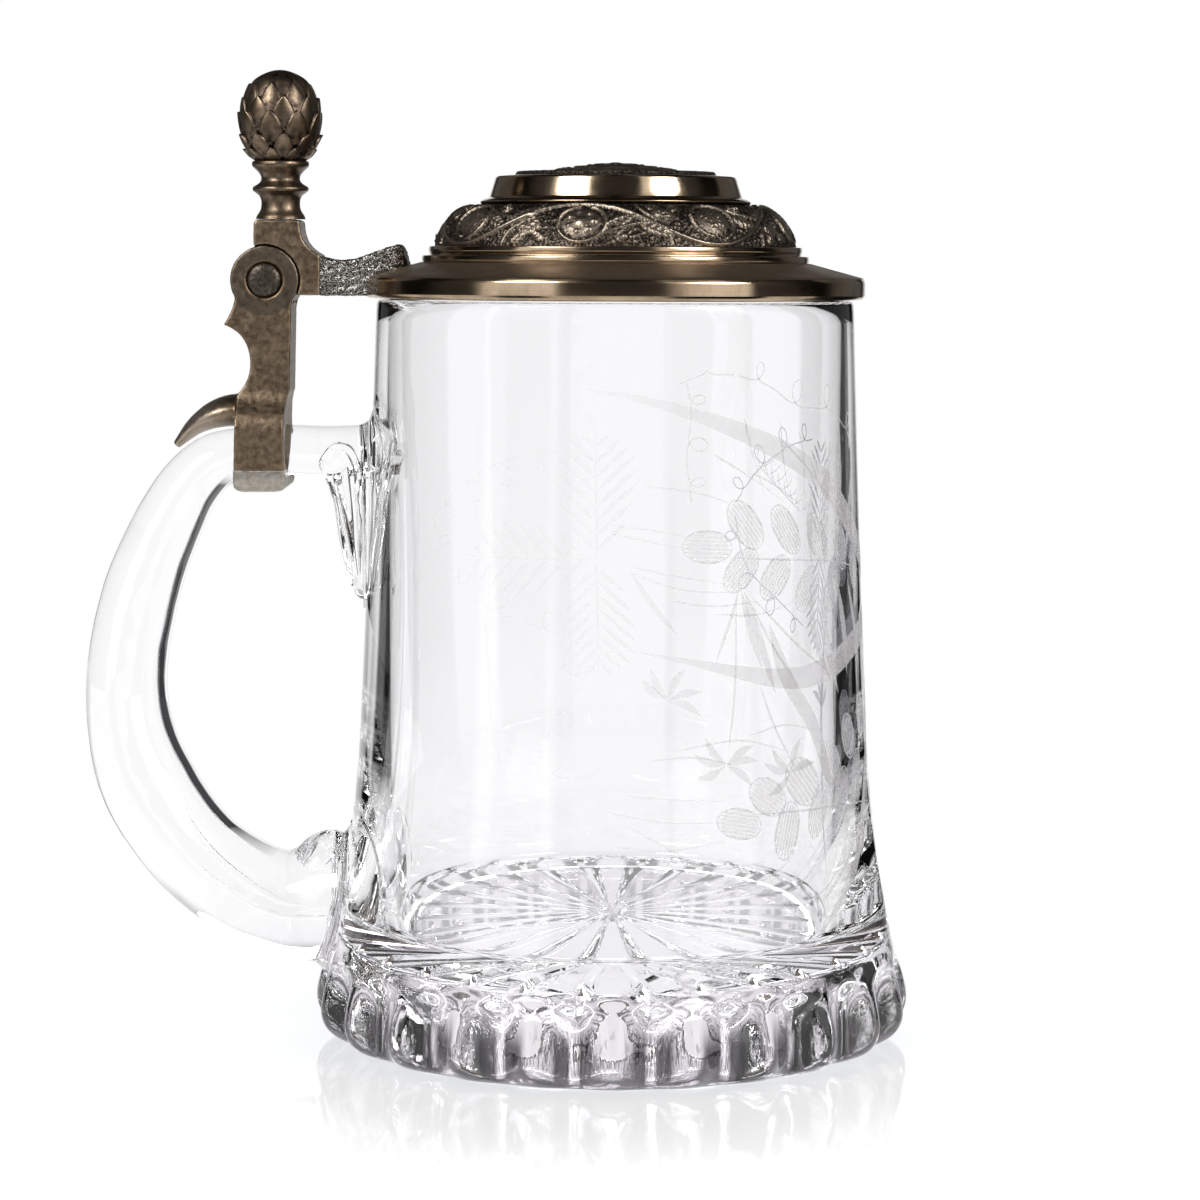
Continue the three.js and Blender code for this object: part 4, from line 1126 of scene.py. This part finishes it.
class CutWork:
    # collects single cuts, each a thin closed sliver that lies on the wall
    def __init__(self):
        self.points, self.faces = [], []

    def stroke(self, path, width, taper=(0.5, 0.5), steps=6):
        # path in degrees and millimetres; taper is the share of the length over which each end narrows
        line = curveThrough(path, steps)
        flat = line * [perDegree, 1]
        across = alongLine(flat)[1]
        t = np.linspace(0, 1, len(line))
        ends = np.clip(np.minimum(t / max(taper[0], 1e-3), (1 - t) / max(taper[1], 1e-3)), 0, 1)
        half = (width / 2 * np.sin(ends * math.pi / 2) + 0.01)[:, None]
        lift, crown = cuts["lift"], cuts["crown"] * np.sin(ends * math.pi / 2)
        sections = [(flat + across * half, lift + 0 * t), (flat, lift + crown),
                    (flat - across * half, lift + 0 * t), (flat, lift * 0.4 + 0 * t)]
        start = len(self.points)
        for i in range(len(line)):
            for place, height in sections:
                s, z = place[i]
                angle = s / cuts["meanRadius"]
                radius = wallRadius(z) + height[i]
                self.points.append((radius * math.sin(angle), -radius * math.cos(angle), z))
        for i in range(len(line) - 1):
            a, b = start + 4 * i, start + 4 * i + 4
            self.faces += [[a + k, a + (k + 1) % 4, b + (k + 1) % 4, b + k] for k in range(4)]
        last = start + 4 * (len(line) - 1)
        self.faces += [[start + 3, start + 2, start + 1, start], [last, last + 1, last + 2, last + 3]]

    def local(self, place, tilt, along, across):
        # a spot near a place, by millimetres along and across a tilted direction
        c, s = math.cos(math.radians(tilt)), math.sin(math.radians(tilt))
        return (place[0] + (along * c - across * s) / perDegree, place[1] + along * s + across * c)

    def kernel(self, place, tilt, length, width, lines=8):
        # a barley corn: close cuts side by side, each as long as the oval is there
        for k in range(lines):
            off = (k + 0.5) / lines * 2 - 1
            reach = length / 2 * math.sqrt(1 - off**2 * 0.96)
            jag = 0.12 * math.sin(k * 2.7)
            ends = [self.local(place, tilt, along, off * width / 2)
                    for along in (-reach + jag, 0, reach + jag)]
            self.stroke(ends, width / lines * 0.8, (0.12, 0.12), 4)
        rim = [self.local(place, tilt, length / 2 * math.cos(a), width / 2 * math.sin(a))
               for a in np.linspace(0, 2 * math.pi, 15)]
        self.stroke(rim, 0.3, (0.01, 0.01), 3)

    def leaf(self, root, tip, width, pairs=6, rib=0.5):
        # midrib, and pairs of blades that lean forward from it
        root, tip = np.array(root, float), np.array(tip, float)
        run = (tip - root) * [perDegree, 1]
        length, tilt = np.linalg.norm(run), math.degrees(math.atan2(run[1], run[0]))
        self.stroke([root, (root + tip) / 2, tip], rib, (0.1, 0.6))
        for k in range(pairs):
            share = (k + 0.6) / (pairs + 0.4)
            reach = width / 2 * math.sin(math.pi * min(1, share * 0.78 + 0.18))
            for side in (-1, 1):
                start = self.local(root, tilt, share * length * 0.9, side * 0.25)
                middle = self.local(root, tilt, share * length * 0.9 + reach * 0.5, side * reach * 0.58)
                end = self.local(root, tilt, share * length * 0.9 + reach * 0.85, side * reach)
                self.stroke([start, middle, end], width / pairs * 0.42, (0.25, 0.5), 4)

    def tendril(self, path, loops, size, width=0.26):
        # a thin line that throws a full curl at even steps
        flat = curveThrough(path, 40) * [perDegree, 1]
        length = lengthAlong(flat)
        t = np.linspace(0, 1, 30 * loops)
        phase = (t * loops) % 1
        curl = 2 * math.pi * smoothStep(phase, 0.25, 0.75)
        grown = size * (0.6 + 0.4 * np.sin(math.pi * t))
        run = t + 0.06 / loops * np.sin(2 * math.pi * phase)
        centre, along, away = (np.stack([np.interp(run * length[-1], length, row) for row in rows.T], -1)
                               for rows in (flat, *alongLine(flat)))
        swing = along * np.sin(curl)[:, None] * 0.8 + away * (1 - np.cos(curl))[:, None]
        self.stroke((centre + swing * grown[:, None]) / [perDegree, 1], width, (0.02, 0.02), 1)

    def piece(self, name, finish):
        handOver(meshPiece(name, self.points, self.faces, [finish], sharpAngle=20), "mug", "clear_glass")


def makeEngraving():
    finish = frostedCut("frosted cut engraving")
    barley = CutWork()
    for corns, awns in cuts["ears"]:
        for corn in corns:
            barley.kernel(*corn)
        for path in awns:
            barley.stroke(path, cuts["awn"], (0.7, 0.2))
    barley.piece("cut_barley_ears", finish)

    stems = CutWork()
    stems.stroke(cuts["ribbon"], cuts["ribbonWidth"], (0.34, 0.34), 8)
    for path, width in cuts["stems"]:
        stems.stroke(path, width, (0.35, 0.35), 10)
    for place, headings in cuts["sprigs"]:
        for heading in headings:
            blade = [place, stems.local(place, heading, 3.4, 0.5), stems.local(place, heading, 6.4, 0)]
            stems.stroke(blade, 1.5, (0.6, 0.6), 6)
    stems.piece("cut_ribbon_and_stems", finish)

    leaves = CutWork()
    for leaf in cuts["leaves"]:
        leaves.leaf(*leaf)
    for path, width in cuts["petals"]:
        leaves.stroke(path, width, (0.4, 0.5), 10)
    leaves.stroke([(33, 108), (40, 103), (47, 98.5)], cuts["fern"], (0.1, 0.4))
    for k in range(7):  # a fern's short blades on both sides of its rib
        x, z = 34.5 + 1.9 * k, 107 - 1.35 * k
        for blade in ([(x, z), (x - 0.8, z + 2), (x - 0.4, z + 4.2 - 0.3 * k)],
                      [(x, z), (x + 2.6, z + 0.8), (x + 5 - 0.4 * k, z + 2.2)]):
            leaves.stroke(blade, cuts["fern"], (0.3, 0.6), 4)
    for leaf in cuts["farLeaves"]:
        leaves.leaf(*leaf)
    for tendril in cuts["tendrils"]:
        leaves.tendril(*tendril)
    leaves.piece("cut_hop_leaves_and_tendrils", finish)


# Floor, light and camera

studio = {"floor": "#f4f4f5", "floorSize": 0.9, "floorDrop": 0.0003, "reflection": 0.3,
          "mirrorReach": (0.06, 0.15), "lit": 0.4, "shadowReach": (0.07, 0.24), "worldLevel": 0.8,
          "stripEdge": (-0.1, -0.45), "stripMetal": (0.05, 1.4), "stripFades": (0.1, -0.1, 0.1, 1),
          "ceiling": (0.55, 0.85, 1, 0.15), "behind": (0.93, 0.98), "above": (0.3, 0.6, 1, 0.3),
          "panelEdge": (-0.1, 0.1, 0.01, 1), "panelLean": (-0.55, 0.3), "panelTurns": (-0.1, 0.1, 4, 3.6),
          "panelReach": (0.12, 0.2)}


def diagonalPanel(tree, x, y):
    # white straight ahead, behind and to both sides, and dark on the diagonals between, with the
    # dark panels closer on the right
    turn = addNode(tree, "Math ARCTAN2", x, y)
    turns = addNode(tree, "MapRange", y, *studio["panelTurns"])  # a few more to the circle in front
    wave = addNode(tree, "Math COSINE", addNode(tree, "Math MULTIPLY", turn, turns))
    lean = addNode(tree, "Math MULTIPLY_ADD", addNode(tree, "Math SINE", turn), *studio["panelLean"])
    return addNode(tree, "MapRange SMOOTHSTEP", addNode(tree, "Math ADD", wave, lean), *studio["panelEdge"])


def makeFloor():
    # glossy white acrylic: white to the eye, with the mug's faint mirror image and its shadow
    size = studio["floorSize"]
    mesh = bpy.data.meshes.new("floor")
    corners = roundPoints(size, roundAngles(96), 0).tolist()
    mesh.from_pydata(corners, [], [list(range(len(corners)))])
    floor = bpy.data.objects.new("floor", mesh)
    floor.location = (axisX, 0, -studio["floorDrop"])
    bpy.context.scene.collection.objects.link(floor)
    material, tree, place = newMaterial("white acrylic")
    rays = addNode(tree, "LightPath").node.outputs
    away = addNode(tree, "VectorMath LENGTH", place)
    seen = rays["Is Camera Ray"]
    for kind in ("Is Glossy Ray", "Is Transmission Ray"):
        seen = addNode(tree, "Math MAXIMUM", seen, rays[kind])
    lit = addNode(tree, "MapRange SMOOTHSTEP", away, *studio["shadowReach"], 1 - studio["lit"], 1)
    lit = addNode(tree, "Math MAXIMUM", lit, rays["Is Transmission Ray"])
    pale = addNode(tree, "Math MULTIPLY", seen, lit)
    bounced = addNode(tree, "Math MINIMUM", rays["Glossy Depth"], 1)
    beyond = addNode(tree, "MapRange", away, *studio["panelReach"])
    beyond = addNode(tree, "Math MULTIPLY", beyond, bounced)
    panel = diagonalPanel(tree, *addNode(tree, "SeparateXYZ", place).node.outputs[:2])
    glow = addNode(tree, "Emission", Color=(1, 1, 1, 1), Strength=addNode(tree, "Mix", beyond, 1, panel))
    base = addNode(tree, "MixShader", pale, addNode(tree, "BsdfDiffuse", Color=linear(studio["floor"])), glow)
    polish = addNode(tree, "MapRange SMOOTHSTEP", away, *studio["mirrorReach"], studio["reflection"], 0)
    sheen = addNode(tree, "Math MULTIPLY", polish, rays["Is Camera Ray"])
    mirror = addNode(tree, "BsdfGlossy", Roughness=0.06)
    addNode(tree, "OutputMaterial", Surface=addNode(tree, "MixShader", sheen, base, mirror))
    mesh.materials.append(material)


def makeWorld():
    # white all round to the eye; metal sees soft strips on a dark surround, light that
    # bounced inside the glass sees dark panels, and everything else gets a plain soft level
    world = bpy.data.worlds.new("studio")
    bpy.context.scene.world = world
    world.use_nodes = True
    tree = world.node_tree
    tree.nodes.clear()
    rays = addNode(tree, "LightPath").node.outputs
    x, y, z = addNode(tree, "SeparateXYZ", addNode(tree, "TexCoord")).node.outputs
    turn = addNode(tree, "Math ARCTAN2", x, y)
    four = addNode(tree, "Math COSINE", addNode(tree, "Math MULTIPLY", turn, 4))
    metal = addNode(tree, "MapRange SMOOTHSTEP", four, *studio["stripEdge"], *studio["stripMetal"])
    for share in (addNode(tree, "MapRange", y, *studio["stripFades"]),
                  addNode(tree, "MapRange SMOOTHSTEP", z, *studio["ceiling"])):
        metal = addNode(tree, "Math MULTIPLY", metal, share)
    behind = addNode(tree, "MapRange SMOOTHSTEP", y, *studio["behind"])
    metal = addNode(tree, "Math MAXIMUM", metal, behind)
    bounced = addNode(tree, "Math MINIMUM", rays["Glossy Depth"], 1)
    inside = addNode(tree, "Mix", bounced, 1, diagonalPanel(tree, x, y))
    glass = addNode(tree, "Math MULTIPLY", inside, addNode(tree, "MapRange SMOOTHSTEP", z, *studio["above"]))
    level = addNode(tree, "Mix", rays["Is Glossy Ray"], studio["worldLevel"], metal)
    level = addNode(tree, "Mix", rays["Is Transmission Ray"], level, glass)
    level = addNode(tree, "Mix", rays["Is Camera Ray"], level, 1)
    addNode(tree, "OutputWorld", Surface=addNode(tree, "Background", Color=(1, 1, 1, 1), Strength=level))


lamps = {"left": {"spot": (-0.62, -0.66, 0.75), "size": 0.5, "watts": 8, "mirrored": True},
         "right": {"spot": (0.72, -0.6, 0.6), "size": 0.5, "watts": 6, "mirrored": True},
         "back": {"spot": (0.2, 0.9, 0.8), "size": 0.7, "watts": 7, "mirrored": False}}


def makeLamps():
    aim = Vector((axisX, 0, 0.08))
    for name, lamp in lamps.items():
        light = bpy.data.lights.new("softbox_" + name, "AREA")
        light.shape = "DISK"
        light.size = lamp["size"]
        light.energy = lamp["watts"]
        box = bpy.data.objects.new("softbox_" + name, light)
        box.location = lamp["spot"]
        box.rotation_euler = (aim - box.location).to_track_quat("-Z", "Y").to_euler()
        box.visible_camera = False
        box.visible_glossy = lamp["mirrored"]
        bpy.context.scene.collection.objects.link(box)


camera = {"x": -2.8, "back": 640.5, "height": 143.6, "down": 5.65, "roll": 0.26, "lens": 105, "sensor": 36}


def makeCamera():
    data = bpy.data.cameras.new("camera")
    data.lens = camera["lens"]
    data.sensor_width = camera["sensor"]
    data.clip_start = 0.01
    item = bpy.data.objects.new("camera", data)
    item.location = (axisX + camera["x"] * mm, -camera["back"] * mm, camera["height"] * mm)
    item.rotation_euler = (math.radians(90 - camera["down"]), math.radians(-camera["roll"]), 0)
    bpy.context.scene.collection.objects.link(item)
    bpy.context.scene.camera = item


makeCamera()
makeFloor()
makeWorld()
makeLamps()
scene = bpy.context.scene
scene.view_settings.view_transform = "Standard"
scene.cycles.max_bounces = 24  # clear glass is crossed many times
scene.cycles.transmission_bounces = 24
scene.cycles.glossy_bounces = 12
scene.cycles.transparent_max_bounces = 24
print("studio is set")
makeGlass()
makeHinge()
makeThumblift()
makeLid()
makeEngraving()
